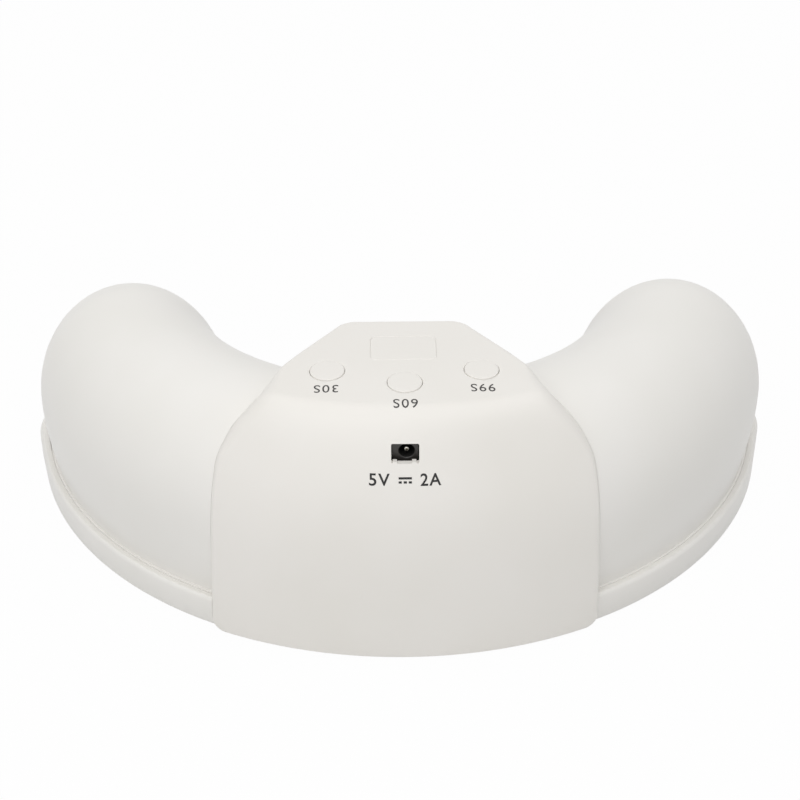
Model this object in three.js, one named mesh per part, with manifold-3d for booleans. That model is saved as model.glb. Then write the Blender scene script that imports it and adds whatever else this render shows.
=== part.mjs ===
// A two-handed lamp that cures nail gel. A crescent canopy, open towards the user, stands on a tray,
// and a saddle-shaped cover over its middle holds the timer buttons, the display and the power socket.
// Millimetres, +Z up. The back, with the socket, faces -Y, and the user sits at +Y.
import * as THREE from "three";
import { LoftGeometry } from "three/addons/geometries/LoftGeometry.js";
import { mergeVertices } from "three/addons/utils/BufferGeometryUtils.js";
import Module from "manifold-3d";

const wasm = await Module();
wasm.setup();

// Sizes that all pieces share
const degree = Math.PI / 180;
const gap = 0.3; // between pieces that touch
const overrun = 6; // how far a cut runs past the faces that it opens
const canopyWall = 2.2;
const coverWall = 1.6;

// The tray: a crescent of four end arcs and two long arcs round the same centre. The spine is the circle
// that the canopy's ridge follows. A reach goes from it towards the user, and an out towards the back.
const spineRadius = 104.3;
const rimHeight = 11;
const rimLand = 3; // width of the rim's top
const innerSeat = 3; // between the canopy's flange and the rim on the concave side
const trayFloor = 2.4;
const trayArc = 74.5 * degree; // half the sweep of the outer arc, from the back
const trayStraight = 16.5; // straight stretch after the outer arc
const endTuck = 1.2; // how much rounder the tray's ends are than the arm's
const heelTuck = 9.2; // the same for the end's arc on the user's side
const ledgeHeight = 9; // top of the ledge that carries the canopy
const ledgeThickness = 2;
const ledgeWidth = 10;
const lipHeight = 4; // rim height across the mouth
const footStand = 1; // how far the rubber feet lift the tray
const footRadius = 5;
const footRecess = 1;
const footInset = 22; // how far the outer feet stand inside the rim
const footAngleBack = 15 * degree;
const footAngleSide = 50 * degree;
const footAngleEnd = 80 * degree;
const seamGap = 0.5; // between the rim's ends and the cover

// The canopy: a bent arm with a domed section and round ends
const flangeSeat = 0.4; // between the canopy's flange and the outer rim
const armBulge = 3.45; // how much wider the arm is at the spring line than at its foot
const armFootHalfWidth = 31.2;
const domeHeight = 41.1;
const springHeight = 38.2; // where the dome starts
const domeArc = 71.2 * degree; // half the sweep of the spine in the dome
const footArc = 81.5 * degree; // and at the foot, where the ends lean out
const flangeWidth = 1.1;
const flangeHeight = 1.2;
const mouthDrop = 10; // how far the mouth stays below the reflector's roof
const mouthInset = 12;
const mouthCorner = 14;
const mouthFront = 8; // distance from the crescent's centre line to the mouth's end face
const mouthTuck = 10.9; // from the arm's foot on the concave side to the mouth's arc
const columnHalfWidth = 22; // the column between the two hand bays

// The centre cover: a strip laid over the canopy from the back's foot to the front edge. An inset goes
// from its foot towards the centre, and a drop goes down from its top.
const coverProud = 1.7; // how far the cover's foot stands out from the rim
const coverRise = 6.7; // height of the deck over the canopy's ridge
const coverFrontReach = 34.8;
const coverFootRise = 42; // reach of the upright tangent at the foot
const coverShoulderInset = 11.7;
const coverShoulderDrop = 13.9;
const coverShoulderLean = 27 * degree;
const coverShoulderReach = 22;
const coverBendReach = 8;
const coverDeckInset = 24.3;
const coverDeckDrop = 1;
const coverDeckReach = 5.5;
const coverDeckSlope = 3.7 * degree;
const coverCrownInset = 49.7; // from here to the front the deck is level
const coverFrontCorner = 5; // radius of the deck's front corners in plan
const coverFrontHalf = 20.2;
const coverMiddleHalf = 40.8; // half width over the spine
const coverDeckHalf = 47.6;
const coverBendInset = 17.7;
const coverBendDrop = 5;
const coverBendHalf = 51.2;
const coverShoulderHalf = 57.6;
const coverHipInset = 7.4;
const coverHipDrop = 23.2;
const coverHipHalf = 61.7;
const coverWallHalf = 63.8;
const coverFootHalf = 65.6;
const coverWallDrop = 40;
const fasciaRise = 6; // from the mouth's top to the foot of the cover's front wall
const coverBite = 0.5; // how deep the cover's edges sit in the canopy
const frontFillet = 1.6;
const shoulderFillet = 8;
const wallFillet = 1.2;
const filletShare = 0.7; // the most of the cover's depth that a fillet takes
const cornerTurnShare = 0.85; // how far the corner turns towards the deck's side

// The timer buttons, from the user's right hand to the left
const buttonRadius = 5.7;
const buttonRing = 0.35;
const buttonProud = 0.3;
const buttonFlange = 1;
const buttonFlangeThickness = 1;
const buttonFlangeDrop = 2.8;
const buttonTravel = 0.8;
const sideButtonX = 25.2;
const sideButtonInset = 42.4;
const centreButtonInset = 35.2;
const stemRadius = 1.6;
const switchSide = 6;
const switchHeight = 3.5;
const stemReach = 1.3; // how far the stem reaches into the switch at rest

// The display under its window
const windowWidth = 22.6;
const windowDepth = 15.6;
const windowReach = 19.3;
const windowCorner = 1.2;
const windowFlange = 1.2;
const windowFlangeThickness = 1;
const windowSink = 0.1;
const moduleDepth = 14.2;

// Boards and the power socket
const boardThickness = 1.6;
const displayBoardDrop = 10; // from the cover's top to the top of the upper board
const displayBoardHalf = 31;
const displayBoardInset = 29.7;
const displayBoardStepReach = 12.3;
const displayBoardReach = 27.8;
const displayBoardNeck = 14;
const powerBoardDrop = 9; // from board to board
const powerBoardHalf = 16;
const powerBoardInset = 19.7;
const powerBoardReach = 12.3;
const boardCutMargin = 3;
const headerHalf = 6.4;
const headerDepth = 2.5;
const headerReach = 9.3;
const socketX = 0.2;
const socketDrop = 12.9;
const socketRadius = 2.3;
const socketDepth = 9.5;
const socketPinRadius = 0.85;
const socketHoleShift = 0.5; // the hole in the cover is a little off the socket's axis
const socketHoleWidth = 8.9;
const socketHoleBelow = 3.4; // from the socket's axis
const socketHoleAbove = 2.9;
const socketInset = 14.3;
const socketNoseLength = 5.4;
const socketLength = 14.2;
const socketBodyAbove = 4.5;
const contactWidth = 1.2;
const contactThickness = 0.3;
const capacitorRadius = 3.15;
const capacitorX = 9.6;
const capacitorReach = 0.3;
const chipWidth = 6;
const chipDepth = 5;
const chipHeight = 1.5;
const leadRadius = 0.8;
// The right lead's points: x, the way from the spine towards the user, the height over the liner's roof
const leadRoute = [[13, 0.3, 4.3], [26, 1.3, 4.1], [40, 6.3, 3.2], [56, 15.9, 3]];

// Reflectors and lamp boards
const linerInset = 5;
const linerWall = 1.2;
const linerRoofDrop = 7; // below the power board
const linerSplit = 26 * degree;
const linerMouthTuck = 14; // past the mouth's arc, so that the liner has no wall on the user's side
const lampBoardReach = 16.3;
const lampBoardOut = 16.7;
const lampBoardStart = 28.5 * degree;
const lampBoardEnd = 77 * degree;
const centreBoardArc = 23 * degree;
const centreBoardReach = 12.3;
const beadRadius = 2.5;
const beadDrop = 3.3;
const beadRowReach = 8.3;
const beadRowOut = 8.7;
const sideBeadCount = 5; // number in each row of a side board
const centreBeadCount = 2; // number in each row of the centre board
const sensorRadius = 2.6;
const sensorAngle = 40 * degree;

// Screws
const screwRadius = 1.2;
const screwHeadRadius = 2.4;
const screwHeadHeight = 1.4;
const trayScrewLength = 18;
const coverScrewLength = 10;
const boardScrewLength = 6;
const bossRadius = 3;
const trayBossRadius = 3.6;
const trayBossTuck = 4.3; // from the arm's side to a boss's axis
const trayBossTop = 24;
const trayScrewAngle = 30 * degree;
const endScrewAngle = 66 * degree;
const columnBossTuck = 7.9; // from the column's side
const rearBossTuck = 0.8; // inside the cover's side over the spine
const rearBossOut = 1.7;
const rearBossDrop = 13.5;
const frontBossSide = 2.6; // from the cover's side to the boss's axis
const frontBossTuck = 11.4; // from the arm's foot on the concave side
const frontBossDrop = 17.4;
const displayPostX = 27.5;
const displayPostInset = 32.5;
const powerPostX = 12.5;
const powerPostInset = 23.2;
const postRadius = 2.3;

// Radii and heights that follow from the sizes above
const rimRadius = spineRadius + armFootHalfWidth + flangeWidth + flangeSeat + rimLand;
const armHalfWidth = armFootHalfWidth + armBulge;
const trayInnerRadius = spineRadius - armFootHalfWidth - flangeWidth - innerSeat - rimLand;
const trayEndRadius = armFootHalfWidth - endTuck;
const trayHeelRadius = armFootHalfWidth - heelTuck;
const footRing = rimRadius - footInset;
const coverFootRadius = rimRadius + coverProud;
const coverTop = springHeight + domeHeight + coverRise;
const displayBoardHeight = coverTop - displayBoardDrop;
const powerBoardHeight = displayBoardHeight - powerBoardDrop;
const linerRoof = powerBoardHeight - linerRoofDrop;
const mouthHeight = linerRoof - mouthDrop;
const mouthHalfWidth = rimRadius - mouthInset;
const mouthRadius = spineRadius - armFootHalfWidth + mouthTuck;
const fasciaFoot = mouthHeight + fasciaRise;
const coverFrontRadius = spineRadius - coverFrontReach;
const coverShoulderRadius = coverFootRadius - coverShoulderInset;
const coverShoulderHeight = coverTop - coverShoulderDrop;
const coverDeckRadius = coverFootRadius - coverDeckInset;
const coverDeckHeight = coverTop - coverDeckDrop;
const coverCrownRadius = coverFootRadius - coverCrownInset;
const coverBendRadius = coverFootRadius - coverBendInset;
const coverBendHeight = coverTop - coverBendDrop;
const coverHipRadius = coverFootRadius - coverHipInset;
const coverHipHeight = coverTop - coverHipDrop;
const coverWallHeight = coverTop - coverWallDrop;
const buttonFlangeTop = coverTop - buttonFlangeDrop;
const sideButtonY = coverFootRadius - sideButtonInset;
const centreButtonY = coverFootRadius - centreButtonInset;
const windowY = spineRadius - windowReach;
const displayBoardBack = coverFootRadius - displayBoardInset;
const displayBoardStep = spineRadius - displayBoardStepReach;
const displayBoardFront = spineRadius - displayBoardReach;
const powerBoardBack = coverFootRadius - powerBoardInset;
const powerBoardFront = spineRadius - powerBoardReach;
const headerY = spineRadius - headerReach;
const socketHeight = coverTop - socketDrop;
const socketHoleFoot = socketHeight - socketHoleBelow;
const socketHoleTop = socketHeight + socketHoleAbove;
const socketFace = coverFootRadius - socketInset;
const socketNoseBack = socketFace - socketNoseLength;
const socketBodyBack = socketFace - socketLength;
const socketBodyTop = socketHeight + socketBodyAbove;
const capacitorY = spineRadius - capacitorReach;
const linerMouthRadius = mouthRadius + linerMouthTuck;
const lampBoardInner = spineRadius - lampBoardReach;
const lampBoardOuter = spineRadius + lampBoardOut;
const centreBoardInner = spineRadius - centreBoardReach;
const trayBossRing = spineRadius + armFootHalfWidth - trayBossTuck;
const columnBossRing = spineRadius - armFootHalfWidth + trayBossTuck;
const columnScrewAngle = Math.asin((columnHalfWidth - columnBossTuck) / columnBossRing);
const rearBossX = coverMiddleHalf - rearBossTuck;
const rearBossY = spineRadius + rearBossOut;
const rearBossFoot = coverTop - rearBossDrop;
const frontBossY = spineRadius - armFootHalfWidth + frontBossTuck;
const frontBossFoot = coverTop - frontBossDrop;
const displayPostY = coverFootRadius - displayPostInset;
const powerPostY = coverFootRadius - powerPostInset;
const beadRows = [spineRadius - beadRowReach, spineRadius + beadRowOut];

// Counts of segments
const rimSteps = 26;
const arcSteps = 18;
const endSteps = 7;
const cornerSteps = 2;
const domeSteps = 6;
const planSteps = 12;
const coverSteps = 6;
const profileSteps = 5;
const filletSteps = 3;
const roundSides = 20;
const smallSides = 12;
const beadSides = 8;

// Materials
function plastic(colour, roughness) {
  return new THREE.MeshStandardMaterial({ color: colour, roughness, metalness: 0 });
}
function metal(colour, roughness) {
  return new THREE.MeshStandardMaterial({ color: colour, roughness, metalness: 1 });
}
const whiteShell = plastic("#e9e9e7", 0.35);
const whiteCover = plastic("#edeae7", 0.35);
const windowPlastic = plastic("#d5d6d6", 0.5);
const reflectorSheet = metal("#d9dcde", 0.2);
const blackPlastic = plastic("#1b1b1c", 0.4);
const rubber = plastic("#8d8f90", 0.9);
const boardGreen = plastic("#1f5c3a", 0.5);
const boardWhite = plastic("#f2f2ee", 0.5);
const steel = metal("#b9bcc0", 0.35);
const nickel = metal("#cfd0cf", 0.3);
const darkGlass = plastic("#2a1620", 0.2);
const redWire = plastic("#a52a24", 0.5);

// Solids: three.js geometry goes in and comes out, and the cuts and joins are made in between
function toSolid(geometry) {
  const bare = new THREE.BufferGeometry();
  bare.setAttribute("position", geometry.getAttribute("position"));
  bare.setIndex(geometry.getIndex());
  const merged = mergeVertices(bare, 1e-4);
  const corners = merged.index.array;
  const kept = [];
  for (let i = 0; i < corners.length; i += 3) {
    const [a, b, c] = corners.slice(i, i + 3);
    if (a !== b && b !== c && c !== a) kept.push(a, b, c);
  }
  const vertProperties = merged.attributes.position.array;
  return new wasm.Manifold(new wasm.Mesh({ numProp: 3, vertProperties, triVerts: new Uint32Array(kept) }));
}

function toMesh(name, solid, material) {
  const made = solid.getMesh();
  const geometry = new THREE.BufferGeometry();
  geometry.setAttribute("position", new THREE.BufferAttribute(made.vertProperties, 3));
  geometry.setIndex(new THREE.BufferAttribute(made.triVerts, 1));
  geometry.computeVertexNormals();
  const mesh = new THREE.Mesh(geometry, material);
  mesh.name = name;
  return mesh;
}

function joined(solids) {
  return solids.reduce((sum, solid) => sum.add(solid));
}

function box(x0, x1, y0, y1, z0, z1) {
  const geometry = new THREE.BoxGeometry(x1 - x0, y1 - y0, z1 - z0);
  geometry.translate((x0 + x1) / 2, (y0 + y1) / 2, (z0 + z1) / 2);
  return toSolid(geometry);
}

function post(x, y, z0, z1, radius, sides = smallSides) {
  const geometry = new THREE.CylinderGeometry(radius, radius, z1 - z0, sides);
  geometry.rotateX(Math.PI / 2);
  geometry.translate(x, y, (z0 + z1) / 2);
  return toSolid(geometry);
}

function rodAlongY(x, z, y0, y1, radius, sides = roundSides) {
  const geometry = new THREE.CylinderGeometry(radius, radius, y1 - y0, sides);
  geometry.translate(x, (y0 + y1) / 2, z);
  return toSolid(geometry);
}

function raised(shape, z0, z1, curveSegments = planSteps) {
  const geometry = new THREE.ExtrudeGeometry(shape, { depth: z1 - z0, bevelEnabled: false, curveSegments });
  geometry.translate(0, 0, z0);
  return toSolid(geometry);
}

// A place at an angle from the back, at a distance from the crescent's centre
function placeAt(angle, radius) {
  return { x: radius * Math.sin(angle), y: -radius * Math.cos(angle) };
}

function postAt(angle, ring, z0, z1, radius, sides = smallSides) {
  const place = placeAt(angle, ring);
  return post(place.x, place.y, z0, z1, radius, sides);
}

// The crescent's plan, drawn in by an inset
function crescent(inset) {
  const points = [];
  const arc = (x, y, radius, from, to, steps) => {
    for (let i = 0; i <= steps; i++) {
      const turn = from + ((to - from) * i) / steps;
      const point = new THREE.Vector2(x + radius * Math.cos(turn), y + radius * Math.sin(turn));
      if (i > 0 || !points.length || point.distanceTo(points.at(-1)) > gap) points.push(point);
    }
  };
  const out = placeAt(trayArc, rimRadius - trayEndRadius);
  const endX = out.x + trayStraight * Math.cos(trayArc);
  const endY = out.y + trayStraight * Math.sin(trayArc);
  const heelRing = trayInnerRadius + trayHeelRadius;
  const heelY = endY + trayEndRadius - trayHeelRadius;
  const heelX = Math.sqrt(heelRing ** 2 - heelY ** 2);
  const heelTurn = Math.asin(heelY / heelRing);
  const quarter = Math.PI / 2;
  arc(0, 0, rimRadius - inset, -quarter - trayArc, trayArc - quarter, rimSteps);
  arc(endX, endY, trayEndRadius - inset, trayArc - quarter, quarter, endSteps);
  arc(heelX, heelY, trayHeelRadius - inset, quarter, Math.PI + heelTurn, endSteps);
  arc(0, 0, trayInnerRadius + inset, heelTurn, -Math.PI - heelTurn, arcSteps);
  arc(-heelX, heelY, trayHeelRadius - inset, -heelTurn, quarter, endSteps);
  arc(-endX, endY, trayEndRadius - inset, quarter, 3 * quarter - trayArc, endSteps);
  return new THREE.Shape(points);
}

// One level of the bent arm: a long outer arc, a round end, the inner arc and the other end
function armRing(half, sweep, height) {
  const ring = [];
  const add = (x, y) => ring.push(new THREE.Vector3(x, y, height));
  const arc = (radius, from) => {
    for (let i = 0; i <= arcSteps; i++) {
      const place = placeAt(from * (1 - (2 * i) / arcSteps), radius);
      add(place.x, place.y);
    }
  };
  const end = (side) => {
    const centre = placeAt(side * sweep, spineRadius);
    for (let i = 1; i < endSteps; i++) {
      const turn = side > 0 ? (i / endSteps) * Math.PI : Math.PI - (i / endSteps) * Math.PI;
      const out = half * Math.cos(turn);
      const along = half * Math.sin(turn);
      const x = centre.x + side * (out * Math.sin(sweep) + along * Math.cos(sweep));
      add(x, centre.y - out * Math.cos(sweep) + along * Math.sin(sweep));
    }
  };
  arc(spineRadius + half, -sweep);
  end(1);
  arc(spineRadius - half, sweep);
  end(-1);
  return ring;
}

// Half the arm's width and its sweep at a height below the spring line
function armWall(height) {
  const share = Math.min(1, (springHeight - height) / (springHeight - ledgeHeight));
  const half = armHalfWidth + (armFootHalfWidth - armHalfWidth) * share ** 2;
  return { half, sweep: domeArc + (footArc - domeArc) * share ** 2 };
}

// The arm's form, drawn in by an inset. The foot can carry the flange that stands on the ledge.
function armForm(inset, foot, flanged = false) {
  const rings = [];
  const wallRing = (height, extra, like = height) => {
    const wall = armWall(like);
    rings.push(armRing(wall.half - inset + extra, wall.sweep, height));
  };
  wallRing(foot, flanged ? flangeWidth : 0);
  let start = Math.max(foot, ledgeHeight);
  if (flanged) {
    wallRing(foot + flangeHeight, flangeWidth, foot);
    wallRing(foot + flangeHeight + flangeWidth / 2, flangeWidth / 4);
    start = foot + flangeHeight + flangeWidth;
  }
  const wallSteps = 4;
  for (let i = start > foot ? 0 : 1; i <= wallSteps; i++) {
    wallRing(start + ((springHeight - start) * i) / wallSteps, 0);
  }
  for (let i = 1; i <= domeSteps; i++) {
    const turn = ((Math.PI / 2) * i) / domeSteps;
    const half = i < domeSteps ? (armHalfWidth - inset) * Math.cos(turn) : 0;
    rings.push(armRing(half, domeArc, springHeight + (domeHeight - inset) * Math.sin(turn)));
  }
  return toSolid(new LoftGeometry(rings, { capStart: true }));
}

// The mouth on the user's side: an arch across both ends, and the concave side up to the same height
function mouthCut(foot, margin, innerRadius = mouthRadius) {
  const half = mouthHalfWidth + margin;
  const top = mouthHeight + margin;
  const arch = new THREE.Shape();
  arch.moveTo(-half, foot);
  arch.lineTo(half, foot);
  arch.lineTo(half, top - mouthCorner);
  arch.absarc(half - mouthCorner, top - mouthCorner, mouthCorner, 0, Math.PI / 2, false);
  arch.absarc(mouthCorner - half, top - mouthCorner, mouthCorner, Math.PI / 2, Math.PI, false);
  const reach = trayEndRadius + mouthFront + overrun;
  const archGeometry = new THREE.ExtrudeGeometry(arch, { depth: reach, bevelEnabled: false, curveSegments: 6 });
  archGeometry.rotateX(Math.PI / 2);
  archGeometry.translate(0, reach - mouthFront - margin, 0);
  const inner = post(0, 0, foot, top, innerRadius + margin, 2 * arcSteps);
  const column = columnHalfWidth - margin;
  const kept = box(-column, column, -rimRadius, -mouthFront - overrun, foot - overrun, top + overrun);
  return toSolid(archGeometry).add(inner).subtract(kept);
}

// The cover's section through the crescent's centre: x is the radius and y the height
function coverProfile() {
  const path = new THREE.Path();
  const lean = coverShoulderLean;
  const slope = coverDeckSlope;
  const shoulder = new THREE.Vector2(coverShoulderRadius, coverShoulderHeight);
  path.moveTo(coverFootRadius, 0);
  path.bezierCurveTo(
    coverFootRadius,
    coverFootRise,
    shoulder.x + coverShoulderReach * Math.sin(lean),
    shoulder.y - coverShoulderReach * Math.cos(lean),
    shoulder.x,
    shoulder.y,
  );
  path.bezierCurveTo(
    shoulder.x - coverBendReach * Math.sin(lean),
    shoulder.y + coverBendReach * Math.cos(lean),
    coverDeckRadius + coverDeckReach * Math.cos(slope),
    coverDeckHeight - coverDeckReach * Math.sin(slope),
    coverDeckRadius,
    coverDeckHeight,
  );
  const knee = coverDeckRadius - (coverTop - coverDeckHeight) / Math.tan(slope);
  path.quadraticCurveTo(knee, coverTop, Math.min(knee, coverCrownRadius), coverTop);
  path.lineTo(coverFrontRadius - overrun, coverTop);
  return path;
}

// How far a point of the cover's profile is from the back's foot, counted along both axes
function travel(radius, height) {
  return coverFootRadius - radius + height;
}

// Half widths of the cover at places along its profile, from the foot to the front
const coverStations = [
  [travel(coverFootRadius, 0), coverFootHalf],
  [travel(coverFootRadius, coverWallHeight), coverWallHalf],
  [travel(coverHipRadius, coverHipHeight), coverHipHalf],
  [travel(coverShoulderRadius, coverShoulderHeight), coverShoulderHalf],
  [travel(coverBendRadius, coverBendHeight), coverBendHalf],
  [travel(coverDeckRadius, coverDeckHeight), coverDeckHalf],
  [travel(spineRadius, coverTop), coverMiddleHalf],
  [travel(coverFrontRadius, coverTop), coverFrontHalf],
];

function coverHalfWidth(radius, height) {
  const at = travel(radius, height);
  let i = 1;
  while (i < coverStations.length - 1 && at > coverStations[i][0]) i++;
  const [[from, low], [to, high]] = [coverStations[i - 1], coverStations[i]];
  return low + ((high - low) * (at - from)) / (to - from);
}

function filletAt(radius, height) {
  if (radius < spineRadius) return frontFillet;
  if (radius < coverShoulderRadius) {
    const share = (radius - spineRadius) / (coverShoulderRadius - spineRadius);
    return frontFillet + (shoulderFillet - frontFillet) * Math.min(1, share * 2);
  }
  return wallFillet + (shoulderFillet - wallFillet) * Math.min(1, height / coverShoulderHeight) ** 4;
}

// How far a line into the cover runs before it is well inside the arm
function depthToArm(point, inward, sink) {
  const inside = (depth) => {
    const radius = point.x + inward.x * depth;
    const height = point.y + inward.y * depth;
    const out = Math.abs(radius - spineRadius);
    if (height < fasciaFoot && radius < mouthRadius) return true;
    if (height < springHeight) return out < armWall(height).half - sink;
    return (out / (armHalfWidth - sink)) ** 2 + ((height - springHeight) / (domeHeight - sink)) ** 2 < 1;
  };
  let low = 0;
  let high = coverTop - fasciaFoot;
  for (let i = 0; i < 24; i++) {
    const middle = (low + high) / 2;
    if (inside(middle)) high = middle;
    else low = middle;
  }
  return high;
}

// The plan that ends the cover at its front, with the deck's two corners rounded
function frontPlan(inset) {
  const run = spineRadius - coverFrontRadius;
  const lean = Math.atan2(coverMiddleHalf - coverFrontHalf, run);
  const front = -coverFrontRadius - inset;
  const radius = coverFrontCorner - inset;
  const half = coverFrontHalf + inset * Math.tan(lean) - inset / Math.cos(lean);
  const x = half + radius * Math.tan(lean) - radius / Math.cos(lean);
  const turn = cornerTurnShare * lean;
  const side = rimRadius + coverFrontHalf;
  const shape = new THREE.Shape();
  shape.moveTo(-side, -side - overrun);
  shape.lineTo(side, -side - overrun);
  shape.absarc(x, front - radius, radius, turn, Math.PI / 2, false);
  shape.absarc(-x, front - radius, radius, Math.PI / 2, Math.PI - turn, false);
  return shape;
}

// The cover's form: its skin drawn in by an inset, running down into the canopy by its bite and an extra depth
function coverForm(inset, extra, footDrop) {
  const profile = coverProfile();
  const points = profile.getPoints(profileSteps).filter((p, i, all) => i < 1 || p.distanceTo(all[i - 1]) > gap);
  const rings = points.map((point, index) => {
    const before = points[Math.max(0, index - 1)];
    const after = points[Math.min(points.length - 1, index + 1)];
    const along = after.clone().sub(before).normalize();
    const inward = new THREE.Vector2(-along.y, along.x);
    const half = coverHalfWidth(point.x, point.y) - inset;
    const deep = depthToArm(point, inward, coverBite) + extra;
    const fillet = Math.min(filletAt(point.x, point.y), (deep - inset) * filletShare);
    const ring = [];
    const add = (x, depth) => {
      const radius = point.x + inward.x * depth;
      const height = point.y + inward.y * depth - (index < 1 ? footDrop : 0);
      ring.push(new THREE.Vector3(x, -Math.sqrt(radius ** 2 - x ** 2), height));
    };
    for (let i = 0; i <= filletSteps; i++) {
      const turn = ((Math.PI / 2) * i) / filletSteps;
      add(fillet - half - fillet * Math.cos(turn), inset + fillet * (1 - Math.sin(turn)));
    }
    const flat = half - fillet;
    for (let i = 1; i < coverSteps; i++) add(flat * ((2 * i) / coverSteps - 1), inset);
    for (let i = filletSteps; i >= 0; i--) {
      const turn = ((Math.PI / 2) * i) / filletSteps;
      add(half - fillet + fillet * Math.cos(turn), inset + fillet * (1 - Math.sin(turn)));
    }
    for (let i = 0; i <= coverSteps; i++) add(half * (1 - (2 * i) / coverSteps), deep);
    return ring;
  });
  const form = toSolid(new LoftGeometry(rings, { capStart: true, capEnd: true }));
  return form.intersect(raised(frontPlan(inset), -footDrop, coverTop + overrun, cornerSteps));
}

// The walls of the cover with a margin all round, which is what the canopy and the tray make room for
function coverRoom(margin) {
  const outside = coverForm(-margin, margin, overrun);
  return outside.subtract(coverForm(coverWall + margin, overrun, overrun));
}

function sector(from, to) {
  const shape = new THREE.Shape();
  const quarter = Math.PI / 2;
  const start = placeAt(from, 2 * rimRadius);
  shape.moveTo(0, 0);
  shape.lineTo(start.x, start.y);
  shape.absarc(0, 0, 2 * rimRadius, from - quarter, to - quarter, false);
  return raised(shape, -overrun, coverTop + overrun);
}

// Places that more than one piece uses
const sides = [-1, 1];
const canopyFoot = ledgeHeight + gap;
const trayScrews = [
  { angle: trayScrewAngle, ring: trayBossRing },
  { angle: endScrewAngle, ring: trayBossRing },
  { angle: columnScrewAngle, ring: columnBossRing },
].flatMap(({ angle, ring }) => sides.map((side) => ({ angle: side * angle, ring })));
const coverScrews = [
  { x: rearBossX, y: rearBossY, foot: rearBossFoot },
  { x: coverHalfWidth(frontBossY, coverTop) - frontBossSide, y: frontBossY, foot: frontBossFoot },
].flatMap(({ x, y, foot }) => sides.map((side) => ({ x: side * x, y: -y, foot })));
const displayBoardFoot = displayBoardHeight - boardThickness;
const powerBoardFoot = powerBoardHeight - boardThickness;
const boardScrews = [
  { x: displayPostX, y: displayPostY, foot: displayBoardFoot, seat: displayBoardHeight },
  { x: powerPostX, y: powerPostY, foot: powerBoardFoot, seat: powerBoardHeight },
].flatMap(({ x, y, foot, seat }) => sides.map((side) => ({ x: side * x, y: -y, foot, seat })));
const buttons = [
  { label: "30s", x: -sideButtonX, y: -sideButtonY },
  { label: "60s", x: 0, y: -centreButtonY },
  { label: "99s", x: sideButtonX, y: -sideButtonY },
];
const feet = [
  { angle: footAngleBack, ring: footRing },
  { angle: footAngleSide, ring: footRing },
  { angle: footAngleEnd, ring: spineRadius },
].flatMap(({ angle, ring }) => sides.map((side) => ({ angle: side * angle, ring })));
const windowFlangeTop = coverTop - coverWall - gap;
const windowFlangeFoot = windowFlangeTop - windowFlangeThickness;
const lampBoardFoot = linerRoof + gap;
const lampBoardTop = lampBoardFoot + boardThickness;
const holeX = socketX - socketHoleShift;

function windowShape(margin) {
  const shape = new THREE.Shape();
  const x = windowWidth / 2 + margin;
  const y = windowDepth / 2 + margin;
  const r = windowCorner;
  const quarter = Math.PI / 2;
  shape.absarc(x - r, y - r - windowY, r, 0, quarter, false);
  shape.absarc(r - x, y - r - windowY, r, quarter, 2 * quarter, false);
  shape.absarc(r - x, r - y - windowY, r, 2 * quarter, 3 * quarter, false);
  shape.absarc(x - r, r - y - windowY, r, 3 * quarter, 4 * quarter, false);
  return shape;
}

// The canopy: one moulding, open below and across the mouth, with screw bosses and a cut-out for the boards
function canopyShell() {
  const inside = armForm(canopyWall, ledgeHeight - overrun);
  let shell = armForm(0, canopyFoot, true).subtract(inside);
  shell = shell.subtract(mouthCut(-overrun, 0));
  const within = armForm(canopyWall / 2, canopyFoot);
  const seats = coverScrews.map(({ x, y, foot }) => post(x, y, foot, coverTop, bossRadius).intersect(within));
  const bosses = trayScrews.map(({ angle, ring }) => postAt(angle, ring, canopyFoot, trayBossTop, bossRadius));
  shell = joined([shell, ...seats, ...bosses]);
  const pilots = trayScrews.map(({ angle, ring }) =>
    postAt(angle, ring, 0, trayBossTop - gap, screwRadius + gap),
  );
  const passes = coverScrews.map(({ x, y }) => post(x, y, linerRoof, coverTop, screwRadius + gap));
  const cutFoot = powerBoardFoot - boardCutMargin;
  const wide = displayBoardHalf + boardCutMargin;
  const narrow = powerBoardHalf + boardCutMargin;
  const back = -displayBoardBack - boardCutMargin;
  const wideCut = box(-wide, wide, back, boardCutMargin - displayBoardStep, cutFoot, coverTop);
  const longCut = box(-narrow, narrow, -rimRadius, boardCutMargin - displayBoardFront, cutFoot, coverTop);
  return shell.subtract(joined([...pilots, ...passes, wideCut, longCut, coverRoom(gap)]));
}

// The centre cover: a thin saddle with posts for the boards, bosses for its screws and its openings
function centreCover() {
  const skin = coverForm(0, 0, 0).subtract(coverForm(coverWall, overrun, overrun));
  const within = coverForm(coverWall / 2, 0, 0);
  const bosses = coverScrews.map(({ x, y, foot }) =>
    post(x, y, foot, coverTop, bossRadius).intersect(within).subtract(armForm(-gap, canopyFoot)),
  );
  const posts = boardScrews.map(({ x, y, seat }) => {
    const low = post(x, y, seat + gap, windowFlangeFoot, postRadius);
    return low.add(post(x, y, windowFlangeFoot - gap, coverTop, postRadius).intersect(within));
  });
  const pilots = coverScrews.map(({ x, y, foot }) =>
    post(x, y, foot, foot + coverScrewLength, screwRadius + gap),
  );
  const boardPilots = boardScrews.map(({ x, y, foot }) =>
    post(x, y, foot, foot + boardScrewLength, screwRadius + gap),
  );
  const wells = buttons.map(({ x, y }) =>
    post(x, y, displayBoardHeight, coverTop + overrun, buttonRadius + buttonRing, roundSides),
  );
  const pane = raised(windowShape(gap), displayBoardHeight, coverTop + overrun, 3);
  const half = socketHoleWidth / 2;
  const hole = box(holeX - half, holeX + half, -rimRadius, -socketNoseBack, socketHoleFoot, socketHoleTop);
  const whole = joined([skin, ...bosses, ...posts]);
  return whole.subtract(joined([...pilots, ...boardPilots, ...wells, pane, hole]));
}

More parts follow.
